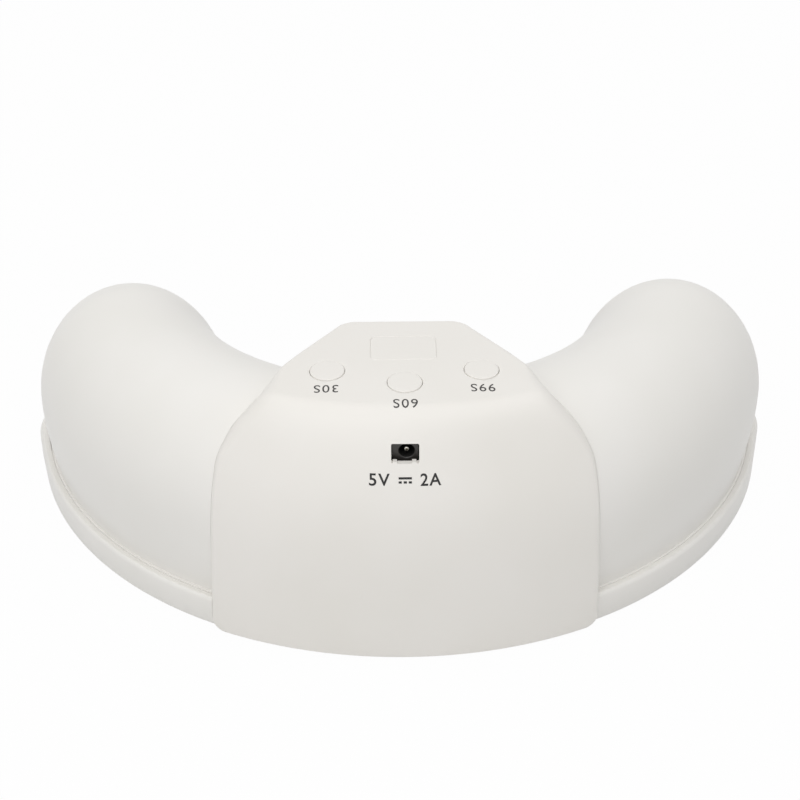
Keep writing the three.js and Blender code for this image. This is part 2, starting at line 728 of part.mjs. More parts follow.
function baseTray() {
  const floor = raised(crescent(0), 0, trayFloor);
  const wall = raised(crescent(0), 0, rimHeight).subtract(raised(crescent(rimLand), trayFloor, coverTop));
  const ledgeFoot = ledgeHeight - ledgeThickness;
  const ledgeOuter = raised(crescent(rimLand / 2), ledgeFoot, ledgeHeight);
  const ledge = ledgeOuter.subtract(raised(crescent(rimLand + ledgeWidth), 0, coverTop));
  const tubes = trayScrews.map(({ angle, ring }) => postAt(angle, ring, 0, ledgeHeight, trayBossRadius));
  const solid = joined([floor, wall, ledge, ...tubes]).subtract(mouthCut(lipHeight, gap));
  const counterbore = screwHeadHeight + 2 * gap;
  const holes = trayScrews.flatMap(({ angle, ring }) => [
    postAt(angle, ring, -overrun, rimHeight, screwRadius + gap),
    postAt(angle, ring, -overrun, counterbore, screwHeadRadius + gap),
  ]);
  const recesses = feet.map(({ angle, ring }) =>
    postAt(angle, ring, -overrun, footRecess, footRadius + gap, roundSides),
  );
  return solid.subtract(joined([...holes, ...recesses, coverRoom(seamGap)]));
}

function screw(x, y, headTop, length) {
  const head = post(x, y, headTop - screwHeadHeight, headTop, screwHeadRadius, smallSides);
  return head.add(post(x, y, headTop - screwHeadHeight / 2, headTop + length, screwRadius, 8));
}

function buttonCap({ x, y }) {
  const foot = buttonFlangeTop - buttonFlangeThickness;
  const crown = post(x, y, foot, coverTop + overrun, buttonRadius, roundSides);
  const flange = post(x, y, foot, buttonFlangeTop, buttonRadius + buttonRing + buttonFlange, roundSides);
  return crown.intersect(coverForm(-buttonProud, 0, 0)).add(flange);
}

const switchTop = displayBoardHeight + gap + switchHeight;

function switchStem({ x, y }) {
  const top = buttonFlangeTop - buttonFlangeThickness - gap;
  return post(x, y, switchTop - stemReach, top, stemRadius);
}

function switchBody({ x, y }) {
  const half = switchSide / 2;
  const body = box(x - half, x + half, y - half, y + half, displayBoardHeight + gap, switchTop);
  const wellFoot = switchTop - stemReach - buttonTravel - gap;
  return body.subtract(post(x, y, wellFoot, switchTop + overrun, stemRadius + gap));
}

function displayWindow() {
  const pane = raised(windowShape(0), windowFlangeFoot, coverTop + overrun, 3);
  const flange = raised(windowShape(windowFlange), windowFlangeFoot, windowFlangeTop, 3);
  return pane.intersect(coverForm(windowSink, 0, 0)).add(flange);
}

function displayModule() {
  const half = windowWidth / 2;
  const deep = moduleDepth / 2;
  const foot = displayBoardHeight + gap;
  return box(-half, half, -windowY - deep, deep - windowY, foot, windowFlangeFoot - gap);
}

function displayBoard() {
  const shape = new THREE.Shape();
  shape.moveTo(-displayBoardHalf, -displayBoardBack);
  shape.lineTo(displayBoardHalf, -displayBoardBack);
  shape.lineTo(displayBoardHalf, -displayBoardStep);
  shape.lineTo(displayBoardNeck, -displayBoardStep);
  shape.lineTo(displayBoardNeck, -displayBoardFront);
  shape.lineTo(-displayBoardNeck, -displayBoardFront);
  shape.lineTo(-displayBoardNeck, -displayBoardStep);
  shape.lineTo(-displayBoardHalf, -displayBoardStep);
  const holes = sides.map((side) =>
    post(side * displayPostX, -displayPostY, linerRoof, coverTop, screwRadius + gap),
  );
  return raised(shape, displayBoardFoot, displayBoardHeight).subtract(joined(holes));
}

function powerBoard() {
  const half = powerBoardHalf;
  const board = box(-half, half, -powerBoardBack, -powerBoardFront, powerBoardFoot, powerBoardHeight);
  const holes = sides.map((side) =>
    post(side * powerPostX, -powerPostY, linerRoof, coverTop, screwRadius + gap),
  );
  return board.subtract(joined(holes));
}

const onPowerBoard = powerBoardHeight + gap;

function boardHeader() {
  const half = headerDepth / 2;
  const top = displayBoardFoot - gap;
  return box(-headerHalf, headerHalf, -headerY - half, half - headerY, onPowerBoard, top);
}

function socketBody() {
  const half = socketHoleWidth / 2 - gap;
  const noseFoot = socketHoleFoot + gap;
  const noseTop = socketHoleTop - gap;
  const joint = -socketNoseBack + gap;
  const nose = box(holeX - half, holeX + half, -socketFace, joint, noseFoot, noseTop);
  const body = box(holeX - half, holeX + half, -socketNoseBack, -socketBodyBack, onPowerBoard, socketBodyTop);
  const back = socketDepth - socketFace;
  const bore = rodAlongY(socketX, socketHeight, -rimRadius, back, socketRadius);
  return nose.add(body).subtract(bore);
}

function socketPin() {
  const front = socketPinRadius - socketFace;
  const back = socketDepth - socketFace - gap;
  return rodAlongY(socketX, socketHeight, front, back, socketPinRadius, smallSides);
}

function socketContact() {
  const half = contactWidth / 2;
  const foot = socketHeight - socketRadius + gap;
  const front = 2 * contactWidth - socketFace;
  const back = socketDepth - socketFace - gap;
  return box(socketX - half, socketX + half, front, back, foot, foot + contactThickness);
}

function powerCapacitor() {
  return post(capacitorX, -capacitorY, onPowerBoard, displayBoardFoot - gap, capacitorRadius, roundSides);
}

function driverChip() {
  const half = chipWidth / 2;
  const deep = chipDepth / 2;
  const top = onPowerBoard + chipHeight;
  return box(-capacitorX - half, half - capacitorX, -capacitorY - deep, deep - capacitorY, onPowerBoard, top);
}

// Where the lamp beads sit: rows along a sweep, at even angles between its ends
function beadPlaces(from, to, count) {
  const places = [];
  for (const ring of beadRows) {
    for (let i = 0; i < count; i++) places.push({ angle: from + ((to - from) * (i + 0.5)) / count, ring });
  }
  return places;
}

const boardSpans = {
  left: { from: -lampBoardEnd, to: -lampBoardStart, inner: lampBoardInner, beads: sideBeadCount },
  centre: { from: -centreBoardArc, to: centreBoardArc, inner: centreBoardInner, beads: centreBeadCount },
  right: { from: lampBoardStart, to: lampBoardEnd, inner: lampBoardInner, beads: sideBeadCount },
};

function lampBoard({ from, to, inner, beads }) {
  const shape = new THREE.Shape();
  const quarter = Math.PI / 2;
  shape.absarc(0, 0, lampBoardOuter, from - quarter, to - quarter, false);
  shape.absarc(0, 0, inner, to - quarter, from - quarter, true);
  const plate = raised(shape, lampBoardFoot, lampBoardTop, 10);
  const top = lampBoardFoot + boardThickness / 2;
  const drops = beadPlaces(from, to, beads).map(({ angle, ring }) =>
    postAt(angle, ring, lampBoardFoot - beadDrop, top, beadRadius, beadSides),
  );
  return joined([plate, ...drops]);
}

function handSensor(side) {
  return postAt(side * sensorAngle, spineRadius, lampBoardFoot - beadDrop, lampBoardFoot - gap, sensorRadius);
}

// The reflectors: a thin liner under the canopy with a flat roof for the lamp boards, in three pieces
function reflectors() {
  const reach = 2 * rimRadius;
  const below = (top) => box(-reach, reach, -reach, reach, -overrun, top);
  const outside = armForm(linerInset, canopyFoot).intersect(below(linerRoof));
  const inside = armForm(linerInset + linerWall, ledgeHeight - overrun).intersect(below(linerRoof - linerWall));
  const cuts = [mouthCut(-overrun, 0, linerMouthRadius)];
  for (const { angle, ring } of trayScrews) {
    cuts.push(postAt(angle, ring, 0, trayBossTop + gap, bossRadius + gap));
  }
  for (const span of Object.values(boardSpans)) {
    for (const { angle, ring } of beadPlaces(span.from, span.to, span.beads)) {
      cuts.push(postAt(angle, ring, linerRoof - beadDrop, coverTop, beadRadius + gap, beadSides));
    }
  }
  for (const side of sides) {
    cuts.push(postAt(side * sensorAngle, spineRadius, linerRoof - beadDrop, coverTop, sensorRadius + gap));
  }
  const liner = outside.subtract(inside).subtract(joined(cuts));
  const slit = gap / spineRadius;
  return {
    left: liner.intersect(sector(-Math.PI, -linerSplit - slit)),
    centre: liner.intersect(sector(-linerSplit, linerSplit)),
    right: liner.intersect(sector(linerSplit + slit, Math.PI)),
  };
}

// A lead from the power board to a side board, clipped between them
function lampLead(side) {
  const points = leadRoute.map(([x, y, z]) => new THREE.Vector3(side * x, y - spineRadius, linerRoof + z));
  const path = new THREE.CatmullRomCurve3(points);
  const ring = new THREE.Shape();
  ring.absarc(0, 0, leadRadius, 0, 2 * Math.PI, false);
  const tube = new THREE.ExtrudeGeometry(ring, { extrudePath: path, steps: 10, curveSegments: 4 });
  return toSolid(tube);
}

// The assembly, lifted onto its feet and moved so that its origin is under the middle of its box
const lamp = new THREE.Group();
const put = (name, solid, material) => lamp.add(toMesh(name, solid, material));

put("canopy_shell", canopyShell(), whiteShell);
put("centre_cover", centreCover(), whiteCover);
put("base_tray", baseTray(), whiteShell);
feet.forEach(({ angle, ring }, i) => {
  const foot = postAt(angle, ring, -footStand, footRecess - gap, footRadius, roundSides);
  put("rubber_foot_" + (i + 1), foot, rubber);
});
trayScrews.forEach(({ angle, ring }, i) => {
  const place = placeAt(angle, ring);
  const headTop = screwHeadHeight + gap;
  put("tray_screw_" + (i + 1), screw(place.x, place.y, headTop, trayScrewLength), steel);
});
coverScrews.forEach(({ x, y, foot }, i) => {
  put("cover_screw_" + (i + 1), screw(x, y, foot - gap, coverScrewLength), steel);
});
boardScrews.forEach(({ x, y, foot }, i) => {
  put("board_screw_" + (i + 1), screw(x, y, foot - gap, boardScrewLength), steel);
});
for (const button of buttons) {
  put("button_cap_" + button.label, buttonCap(button), whiteCover);
  put("switch_stem_" + button.label, switchStem(button), blackPlastic);
  put("switch_body_" + button.label, switchBody(button), blackPlastic);
}
put("display_window", displayWindow(), windowPlastic);
put("display_module", displayModule(), blackPlastic);
put("display_board", displayBoard(), boardGreen);
put("power_board", powerBoard(), boardGreen);
put("board_header", boardHeader(), blackPlastic);
put("socket_body", socketBody(), blackPlastic);
put("socket_pin", socketPin(), nickel);
put("socket_contact", socketContact(), nickel);
put("power_capacitor", powerCapacitor(), blackPlastic);
put("driver_chip", driverChip(), blackPlastic);
for (const [place, liner] of Object.entries(reflectors())) put("reflector_" + place, liner, reflectorSheet);
for (const [place, span] of Object.entries(boardSpans)) put("lamp_board_" + place, lampBoard(span), boardWhite);
for (const side of sides) {
  const place = side < 0 ? "left" : "right";
  put("hand_sensor_" + place, handSensor(side), darkGlass);
  put("lamp_lead_" + place, lampLead(side), redWire);
}

const straightStart = placeAt(trayArc, rimRadius - trayEndRadius);
const endReach = straightStart.y + trayStraight * Math.sin(trayArc) + trayEndRadius;
lamp.position.set(0, (coverFootRadius - endReach) / 2, footStand);

export default lamp;
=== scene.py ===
# %% [markdown]
# # A nail lamp for both hands
# The lamp is a crescent of white moulded plastic that stands on a tray. A saddle-shaped cover lies over
# its middle and holds three timer buttons, a display and the power socket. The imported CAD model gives
# every place and size; this lesson builds the smooth surfaces, the finishes and the light around it.

# %% Load the frame
import math
import bpy
import bmesh
import numpy as np
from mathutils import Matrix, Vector


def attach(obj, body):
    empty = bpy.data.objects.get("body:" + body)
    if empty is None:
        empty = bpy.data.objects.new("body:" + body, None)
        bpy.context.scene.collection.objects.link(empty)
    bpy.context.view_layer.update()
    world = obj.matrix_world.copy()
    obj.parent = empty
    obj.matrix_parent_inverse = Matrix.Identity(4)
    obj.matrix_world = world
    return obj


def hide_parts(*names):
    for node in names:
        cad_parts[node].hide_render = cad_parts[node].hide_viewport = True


bpy.context.scene.view_settings.view_transform = "Standard"
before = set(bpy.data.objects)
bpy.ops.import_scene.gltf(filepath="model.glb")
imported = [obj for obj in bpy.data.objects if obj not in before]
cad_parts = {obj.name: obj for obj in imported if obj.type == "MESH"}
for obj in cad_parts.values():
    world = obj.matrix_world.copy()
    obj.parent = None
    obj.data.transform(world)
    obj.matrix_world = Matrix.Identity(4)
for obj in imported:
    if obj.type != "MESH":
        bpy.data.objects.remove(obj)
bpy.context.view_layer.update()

# %% [markdown]
# ## Working units
# Sizes are thought of in millimetres about the crescent's centre, with zero at the tray's underside,
# because every arc of this lamp shares that centre. One function moves such points into the frame:
# the frame's origin lies under the middle of the lamp's box, and the rubber feet lift it by 1 mm.

# %% Millimetres about the crescent's centre, and back to the frame
MM = 0.001
CENTRE = np.array([0.0, 62.598, 1.0])


def to_frame(points):
    return (np.asarray(points, float) + CENTRE) * MM


def frame_point(x, y, z):
    return Vector(to_frame([x, y, z]))


def add_object(name, data):
    added = bpy.data.objects.new(name, data)
    bpy.context.scene.collection.objects.link(added)
    return added


print("crescent's centre in the frame:", [round(v, 4) for v in frame_point(0, 0, 0)])

# %% [markdown]
# ## Camera
# The lamp is seen from behind and from above, about 32 degrees down, through a fairly long lens. The
# lens and place come from fitting the crescent's outline, so the camera comes first and stays put.

# %% Camera
camera_data = bpy.data.cameras.new("photo_camera")
camera_data.sensor_width = 36
camera_data.lens = 76.5
camera_data.shift_x = 0.00094
camera_data.clip_end = 20
camera = add_object("photo_camera", camera_data)
camera.location = frame_point(-9.7, -572.8, 374.7)
aim = frame_point(0.3, 17.77, 0.0) - camera.location
camera.rotation_euler = aim.to_track_quat("-Z", "Y").to_euler()
bpy.context.scene.camera = camera
print("camera at", [round(v, 3) for v in camera.location])

# %% [markdown]
# ## Colours and nodes
# Colours are written as sRGB hex values, the way a designer reads them off a swatch, and one function
# turns them to linear light. One small helper adds a node with its settings and its links, and four
# more add the noise, the colour ramp, the spread of roughness and the bump that most finishes share.

# %% Colour and node helpers
def linear(hex_colour):
    channels = [int(hex_colour[i:i + 2], 16) / 255 for i in (1, 3, 5)]
    return [c / 12.92 if c <= 0.04045 else ((c + 0.055) / 1.055) ** 2.4 for c in channels] + [1.0]


def add_node(tree, kind, settings=None, inputs=None):
    node = tree.nodes.new(kind)
    for name, value in (settings or {}).items():
        setattr(node, name, value)
    for name, value in (inputs or {}).items():
        socket = node.inputs[name]
        if isinstance(value, bpy.types.NodeSocket):
            tree.links.new(value, socket)
        else:
            socket.default_value = value
    return node


def new_material(name):
    material = bpy.data.materials.new(name)
    material.use_nodes = True
    material.node_tree.nodes.clear()
    return material, material.node_tree


def close_material(tree, shader):
    add_node(tree, "ShaderNodeOutputMaterial", inputs={"Surface": shader.outputs[0]})


def object_points(tree):
    return add_node(tree, "ShaderNodeTexCoord").outputs["Object"]


def noise(tree, vector, grain_mm, detail, roughness=0.5):
    return add_node(tree, "ShaderNodeTexNoise", inputs={
        "Vector": vector, "Scale": 1 / (grain_mm * MM), "Detail": detail,
        "Roughness": roughness}).outputs["Fac"]


def ramp(tree, share, dark, light, start=0.0, stop=1.0):
    colour = add_node(tree, "ShaderNodeValToRGB", inputs={"Fac": share})
    for element, position, tint in zip(colour.color_ramp.elements, (start, stop), (dark, light)):
        element.position = position
        element.color = linear(tint)
    return colour.outputs["Color"]


def spread(tree, share, low, high, start=0.0, stop=1.0):
    return add_node(tree, "ShaderNodeMapRange", inputs={
        "Value": share, "From Min": start, "From Max": stop, "To Min": low, "To Max": high}).outputs["Result"]


def bump(tree, height, strength, depth_mm):
    return add_node(tree, "ShaderNodeBump", inputs={
        "Height": height, "Strength": strength, "Distance": depth_mm * MM}).outputs["Normal"]


def shaded(material, tree, inputs):
    close_material(tree, add_node(tree, "ShaderNodeBsdfPrincipled", inputs=inputs))
    return material


# %% [markdown]
# ## White ABS
# The shell, the tray and the cover are injection-moulded ABS. The mould was polished and then lightly
# blasted, which gives the eye a satin gloss: soft highlights, no mirror image. The cover came from
# another batch and is a little warmer. Slow drifts of tint and roughness stand for the flow of the
# plastic, and a fine grain of about 0.25 mm, coarser than the real 0.05 mm so that it shows at all,
# breaks up the highlights.

# %% Injection-moulded ABS
ABS_IOR = 1.53
FLOW_MM = 38
GRAIN_MM = 0.25


def moulded_plastic(name, tint, deep_tint, roughness, grain_height=0.004, drift=0.05):
    material, tree = new_material(name)
    points = object_points(tree)
    flow = noise(tree, points, FLOW_MM, 2.0, 0.45)
    grain = noise(tree, points, GRAIN_MM, 1.0)
    return shaded(material, tree, {
        "Base Color": ramp(tree, flow, deep_tint, tint, 0.3, 0.7),
        "Roughness": spread(tree, flow, roughness - drift, roughness + drift, 0.3, 0.7),
        "Normal": bump(tree, grain, 0.25, grain_height), "IOR": ABS_IOR})


abs_shell = moulded_plastic("abs_satin_shell", "#edebe7", "#eae8e3", 0.38)
abs_cover = moulded_plastic("abs_satin_cover", "#ece9e4", "#e9e6e0", 0.36)
abs_button = moulded_plastic("abs_satin_button", "#ece9e4", "#e9e6e0", 0.4)
abs_black = moulded_plastic("abs_black_socket", "#353230", "#2c2a28", 0.42)
# A near-black copy of the socket's plastic for the bore's lining: painted shade for the depth of the bore
bore_painted_shade = moulded_plastic("abs_black_bore_painted_shade", "#121110", "#0d0c0c", 0.6)
print("plastics:", abs_shell.name, abs_cover.name, abs_button.name, abs_black.name)

# %% [markdown]
# ## Metals, rubber, boards and ink
# The other finishes are small but real: turned nickel with fine lines round its axis, zinc-plated
# steel with a faint brushed grain, vapour-coated reflector film with an orange-peel ripple, moulded
# rubber with a sandy skin, glass-fibre board under solder mask with its weave showing, and dull ink.

# %% Nickel, steel and reflector film
LINE_DEPTH_MM = 0.004


def metal(name, tint, dark, roughness, stretch, line_mm, ripple=0.0):
    material, tree = new_material(name)
    mapping = add_node(tree, "ShaderNodeMapping", inputs={"Vector": object_points(tree), "Scale": stretch})
    lines = noise(tree, mapping.outputs["Vector"], line_mm, 3.0)
    return shaded(material, tree, {
        "Base Color": ramp(tree, lines, dark, tint), "Metallic": 1.0,
        "Roughness": spread(tree, lines, roughness * 0.75, roughness * 1.3),
        "Normal": bump(tree, lines, 0.2, LINE_DEPTH_MM + ripple)})


nickel = metal("nickel_plated_brass", "#d3d0c8", "#b9b5ab", 0.26, (1, 6, 1), 0.6)
steel = metal("zinc_plated_steel", "#c2c6c9", "#a3a8ac", 0.34, (1, 1, 4), 0.8)
film = metal("aluminised_reflector_film", "#e3e6e8", "#d2d6d9", 0.16, (1, 1, 1), 9, 0.02)


# %% Rubber, silicone, ink and sleeve
def dull(name, tint, dark, roughness, grain_mm, height, ior=1.5, **extra):
    material, tree = new_material(name)
    grain = noise(tree, object_points(tree), grain_mm, 2.0)
    return shaded(material, tree, {
        "Base Color": ramp(tree, grain, dark, tint, 0.35, 0.65), "Roughness": roughness, "IOR": ior,
        "Normal": bump(tree, grain, 0.4, height), **extra})


rubber = dull("moulded_grey_rubber", "#969899", "#85888a", 0.82, 0.35, 0.03)
ink = dull("pad_printed_ink", "#3d3b3a", "#2e2c2b", 0.55, 0.4, 0.002)
ink_black = dull("pad_printed_ink_black", "#121111", "#0b0a0a", 0.5, 0.4, 0.002)
digit_cream = dull("seven_segment_diffuser", "#e6e2d6", "#dad5c6", 0.45, 0.8, 0.004)
sleeve_black = dull("shrink_sleeve_black", "#222326", "#18191b", 0.45, 1.2, 0.01)
lead_red = dull("pvc_lead_red", "#b22b24", "#9c231e", 0.42, 1.5, 0.01, 1.53)
lens = dull("silicone_lens_amber", "#f1e6b4", "#e9dba0", 0.18, 1.6, 0.004, 1.41, **{
    "Transmission Weight": 0.35, "Coat Weight": 0.4})
dark_lens = dull("tinted_sensor_epoxy", "#3a1b28", "#2b121d", 0.2, 1.5, 0.004, 1.55, **{"Coat Weight": 0.5})


# %% Circuit board under solder mask
def board_material(name, mask, mask_dark, weave_mm=0.5):
    material, tree = new_material(name)
    points = object_points(tree)
    threads = [add_node(tree, "ShaderNodeTexWave", {"bands_direction": axis}, {
        "Vector": points, "Scale": 0.314 / (weave_mm * MM), "Distortion": 0.4}).outputs["Fac"]
               for axis in "XY"]
    weave = add_node(tree, "ShaderNodeMath", {"operation": "MULTIPLY"}, dict(enumerate(threads))).outputs[0]
    return shaded(material, tree, {
        "Base Color": ramp(tree, weave, mask_dark, mask), "Roughness": 0.32, "IOR": 1.5,
        "Normal": bump(tree, weave, 0.3, 0.01), "Coat Weight": 0.25})


green_mask = board_material("fr4_green_solder_mask", "#24693f", "#1a5230")
white_mask = board_material("aluminium_board_white_mask", "#f3f3ee", "#e9e9e3")


# %% [markdown]
# ## Meshes from rings
# Most of this lamp's surfaces follow a rule: a section that changes along a path. A loft through rings
# of points writes that rule down directly, with the same number of points in each ring, so that a fine
# grid of quads follows. Points that fall together, as on the dome's ridge, are merged afterwards.

# %% Mesh and loft helpers
def mesh_object(name, vertices, faces, material):
    mesh = bpy.data.meshes.new(name)
    mesh.from_pydata([tuple(p) for p in to_frame(vertices)], [], faces)
    grown = bmesh.new()
    grown.from_mesh(mesh)
    bmesh.ops.remove_doubles(grown, verts=grown.verts, dist=1e-6)
    bmesh.ops.dissolve_degenerate(grown, edges=grown.edges, dist=1e-7)
    bmesh.ops.recalc_face_normals(grown, faces=grown.faces)
    grown.to_mesh(mesh)
    grown.free()
    piece = add_object(name, mesh)
    if material:
        mesh.materials.append(material)
    return piece


def loft(name, rings, material=None, cap_start=True, cap_end=True):
    count = len(rings[0])
    faces = []
    for i in range(len(rings) - 1):
        for j in range(count):
            k = (j + 1) % count
            faces.append((i * count + j, i * count + k, (i + 1) * count + k, (i + 1) * count + j))
    last = (len(rings) - 1) * count
    if cap_start:
        faces.append(tuple(range(count - 1, -1, -1)))
    if cap_end:
        faces.append(tuple(range(last, last + count)))
    return mesh_object(name, np.concatenate(rings), faces, material)


def at_height(flat, z):
    return np.column_stack([flat, np.full(len(flat), z)])


def upright(flat, y):
    return np.column_stack([flat[:, 0], np.full(len(flat), y), flat[:, 1]])


def extruded(name, outline, low, high, material=None):
    flat = np.asarray(outline, float)
    return loft(name, [at_height(flat, z) for z in (low, high)], material)


def disc_rings(x, y, profile, sides=64):
    turn = np.linspace(0, 2 * np.pi, sides, endpoint=False)
    return [at_height(np.column_stack([x + r * np.cos(turn), y + r * np.sin(turn)]), z) for r, z in profile]


def settled_mesh(piece):
    return bpy.data.meshes.new_from_object(piece.evaluated_get(bpy.context.evaluated_depsgraph_get()))


def carve(piece, tool, operation="DIFFERENCE"):
    cut = piece.modifiers.new("cut", "BOOLEAN")
    cut.object = tool
    cut.operation = operation
    cut.solver = "MANIFOLD"
    mesh = settled_mesh(piece)
    piece.modifiers.clear()
    old = piece.data
    piece.data = mesh
    bpy.data.meshes.remove(old)
    bpy.data.objects.remove(tool)
    return piece


def smooth(piece, degrees=32):
    for face in piece.data.polygons:
        face.use_smooth = True
    piece.data.set_sharp_from_angle(angle=math.radians(degrees))
    return piece


def dress(piece, *materials):
    piece.data.materials.clear()
    for material in materials:
        piece.data.materials.append(material)


def as_one(name, pieces):
    first = pieces[0]
    with bpy.context.temp_override(active_object=first, object=first, selected_editable_objects=pieces):
        bpy.ops.object.join()
    first.name = name
    return first


def report(piece):
    low, high = [Vector(c) for c in (piece.bound_box[0], piece.bound_box[6])]
    size = [round((b - a) / MM, 1) for a, b in zip(low, high)]
    print(piece.name, len(piece.data.polygons), "faces, mm:", size)


def finish_piece(piece, slot, *nodes, body="lamp"):
    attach(piece, body)
    if nodes:
        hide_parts(*nodes)
    report(piece)
    return piece


# %% [markdown]
# ## The arm's surface
# The canopy is one arm bent round the centre: its walls stand on the tray, lean in a little, and carry a
# dome whose section is half an ellipse. Both ends are rounded in plan, so the dome closes there like
# the tip of a finger. Each ring below is one level of the arm, and the canopy, the reflector and the
# cuts for the cover all use the same rings.

# %% Rings of the bent arm
SPINE, ARM_HALF, ARM_FOOT_HALF = 104.3, 34.65, 31.2
RIM = 140.0
DOME_HEIGHT, SPRING, LEDGE = 41.1, 38.2, 9.0
DOME_ARC, FOOT_ARC = math.radians(71.2), math.radians(81.5)
FLANGE_TOP = 1.95
QUARTER = math.pi / 2


def place_at(angle, radius):
    return np.column_stack([radius * np.sin(angle), -radius * np.cos(angle)])


def arm_ring(half, sweep, height, arc_steps=120, end_steps=28):
    angles = np.linspace(-sweep, sweep, arc_steps + 1)
    turn = np.linspace(0, math.pi, end_steps + 1)[1:-1]
    out, along = half * np.cos(turn), half * np.sin(turn)
    centre = place_at(np.array([sweep]), SPINE)
    end = centre + np.column_stack([
        out * math.sin(sweep) + along * math.cos(sweep), along * math.sin(sweep) - out * math.cos(sweep)])
    other = end[::-1] * [-1, 1]
    flat = np.concatenate([place_at(angles, SPINE + half), end, place_at(angles[::-1], SPINE - half), other])
    return at_height(flat, height)


def arm_wall(height):
    share = min(1.0, (SPRING - height) / (SPRING - LEDGE)) ** 2
    return ARM_HALF + (ARM_FOOT_HALF - ARM_HALF) * share, DOME_ARC + (FOOT_ARC - DOME_ARC) * share


def arm_form(name, inset, foot, flange=(), material=None, wall_steps=10, dome_steps=26):
    rings = []
    for out, rise in flange:
        half, sweep = arm_wall(foot + rise if rise > FLANGE_TOP else foot)
        rings.append(arm_ring(half - inset + out, sweep, foot + rise))
    start = rings[-1][0][2] if rings else foot
    for height in np.linspace(start, SPRING, wall_steps + 1)[1 if rings else 0:]:
        half, sweep = arm_wall(height)
        rings.append(arm_ring(half - inset, sweep, height))
    for turn in np.linspace(0, QUARTER, dome_steps + 1)[1:]:
        half = (ARM_HALF - inset) * math.cos(turn)
        rings.append(arm_ring(max(half, 0), DOME_ARC, SPRING + (DOME_HEIGHT - inset) * math.sin(turn)))
    return loft(name, rings, material, cap_end=False)


# %% [markdown]
# ## The cover's surface
# Cut through the centre, the cover is one line: up the back wall, round the shoulder and along the deck
# to the front. Each point of that line becomes an arc round the centre, as wide as the cover is there,
# with rounded edges that dip into the canopy. So the deck's buttons, window and lettering can find
# their height from the same line.

# %% The cover's section and widths
FOOT_RADIUS, COVER_TOP, FRONT_RADIUS = 141.7, 86.0, 69.5
SHOULDER = (130.0, 72.1, math.radians(27), 22.0, 8.0)
DECK = (117.4, 85.0, math.radians(3.7), 5.5)
CROWN_RADIUS = 92.0


def bezier(points, steps, crowd=1.0):
    t = np.linspace(0, 1, steps + 1)[:, None] ** crowd
    points = [np.array(p, float) for p in points]
    if len(points) == 3:
        return (1 - t) ** 2 * points[0] + 2 * t * (1 - t) * points[1] + t ** 2 * points[2]
    a, b, c, d = points
    return (1 - t) ** 3 * a + 3 * t * (1 - t) ** 2 * b + 3 * t ** 2 * (1 - t) * c + t ** 3 * d


def cover_line():
    sr, sz, lean, reach, bend = SHOULDER
    dr, dz, slope, deck_reach = DECK
    wall = bezier([(FOOT_RADIUS, 0), (FOOT_RADIUS, 42), (
        sr + reach * math.sin(lean), sz - reach * math.cos(lean)), (sr, sz)], 56, 1.8)
    bend = bezier([(sr, sz), (sr - bend * math.sin(lean), sz + bend * math.cos(lean)), (
        dr + deck_reach * math.cos(slope), dz - deck_reach * math.sin(slope)), (dr, dz)], 20)
    knee = dr - (COVER_TOP - dz) / math.tan(slope)
    deck = bezier([(dr, dz), (knee, COVER_TOP), (CROWN_RADIUS, COVER_TOP)], 16)
    front = np.column_stack([np.linspace(CROWN_RADIUS, FRONT_RADIUS - 6, 9), np.full(9, COVER_TOP)])
    return np.concatenate([wall, bend[1:], deck[1:], front[1:]])


LINE = cover_line()
LINE_AT = FOOT_RADIUS - LINE[:, 0] + LINE[:, 1]
STATIONS = np.array([
    (0, 65.6), (46, 63.8), (70.2, 61.7), (83.8, 57.6), (98.7, 51.2), (109.3, 47.6), (123.4, 40.8),
    (158.2, 20.2)])


def smooth_through(stations, at):
    x, y = stations.T
    slope = np.diff(y) / np.diff(x)
    tangent = np.concatenate([[slope[0]], 2 / (1 / slope[1:] + 1 / slope[:-1]), [slope[-1]]])
    i = np.clip(np.searchsorted(x, at) - 1, 0, len(x) - 2)
    h = x[i + 1] - x[i]
    t = (at - x[i]) / h
    return ((2 * t ** 3 - 3 * t ** 2 + 1) * y[i] + (t ** 3 - 2 * t ** 2 + t) * h * tangent[i]
            + (3 * t ** 2 - 2 * t ** 3) * y[i + 1] + (t ** 3 - t ** 2) * h * tangent[i + 1])


def deck_height(x, y):
    radius = np.hypot(x, y)
    order = np.argsort(LINE[:, 0])
    return np.interp(radius, LINE[order, 0], LINE[order, 1])


print("cover line:", len(LINE), "points; half width at the foot and front:",
      [round(float(smooth_through(STATIONS, a)), 1) for a in (0, 158.2)])


# %% Rings of the cover, drawn in or out by an inset
WALL = 1.6
FRONT_FILLET, SHOULDER_FILLET, WALL_FILLET = 1.6, 8.0, 1.2
FOOT_CORNER = 3.5
FRONT_CORNER = [(24.8, -73.1), (20.6, -67.1), (16.0, -67.1)]
PLAN_HALF, PLAN_BACK = 170, -176
COLUMN_TOP, COLUMN_RADIUS = 56.0, 84.0
DEEPEST, HALVINGS = 30.0, 24
FILLET_SHARE = 0.7
OVERRUN = 6.0


def edge_fillet(radius, height):
    if radius < SPINE:
        return FRONT_FILLET
    if radius < SHOULDER[0]:
        share = (radius - SPINE) / (SHOULDER[0] - SPINE)
        return FRONT_FILLET + (SHOULDER_FILLET - FRONT_FILLET) * min(1.0, share * 2)
    return WALL_FILLET + (SHOULDER_FILLET - WALL_FILLET) * min(1.0, height / SHOULDER[1]) ** 4


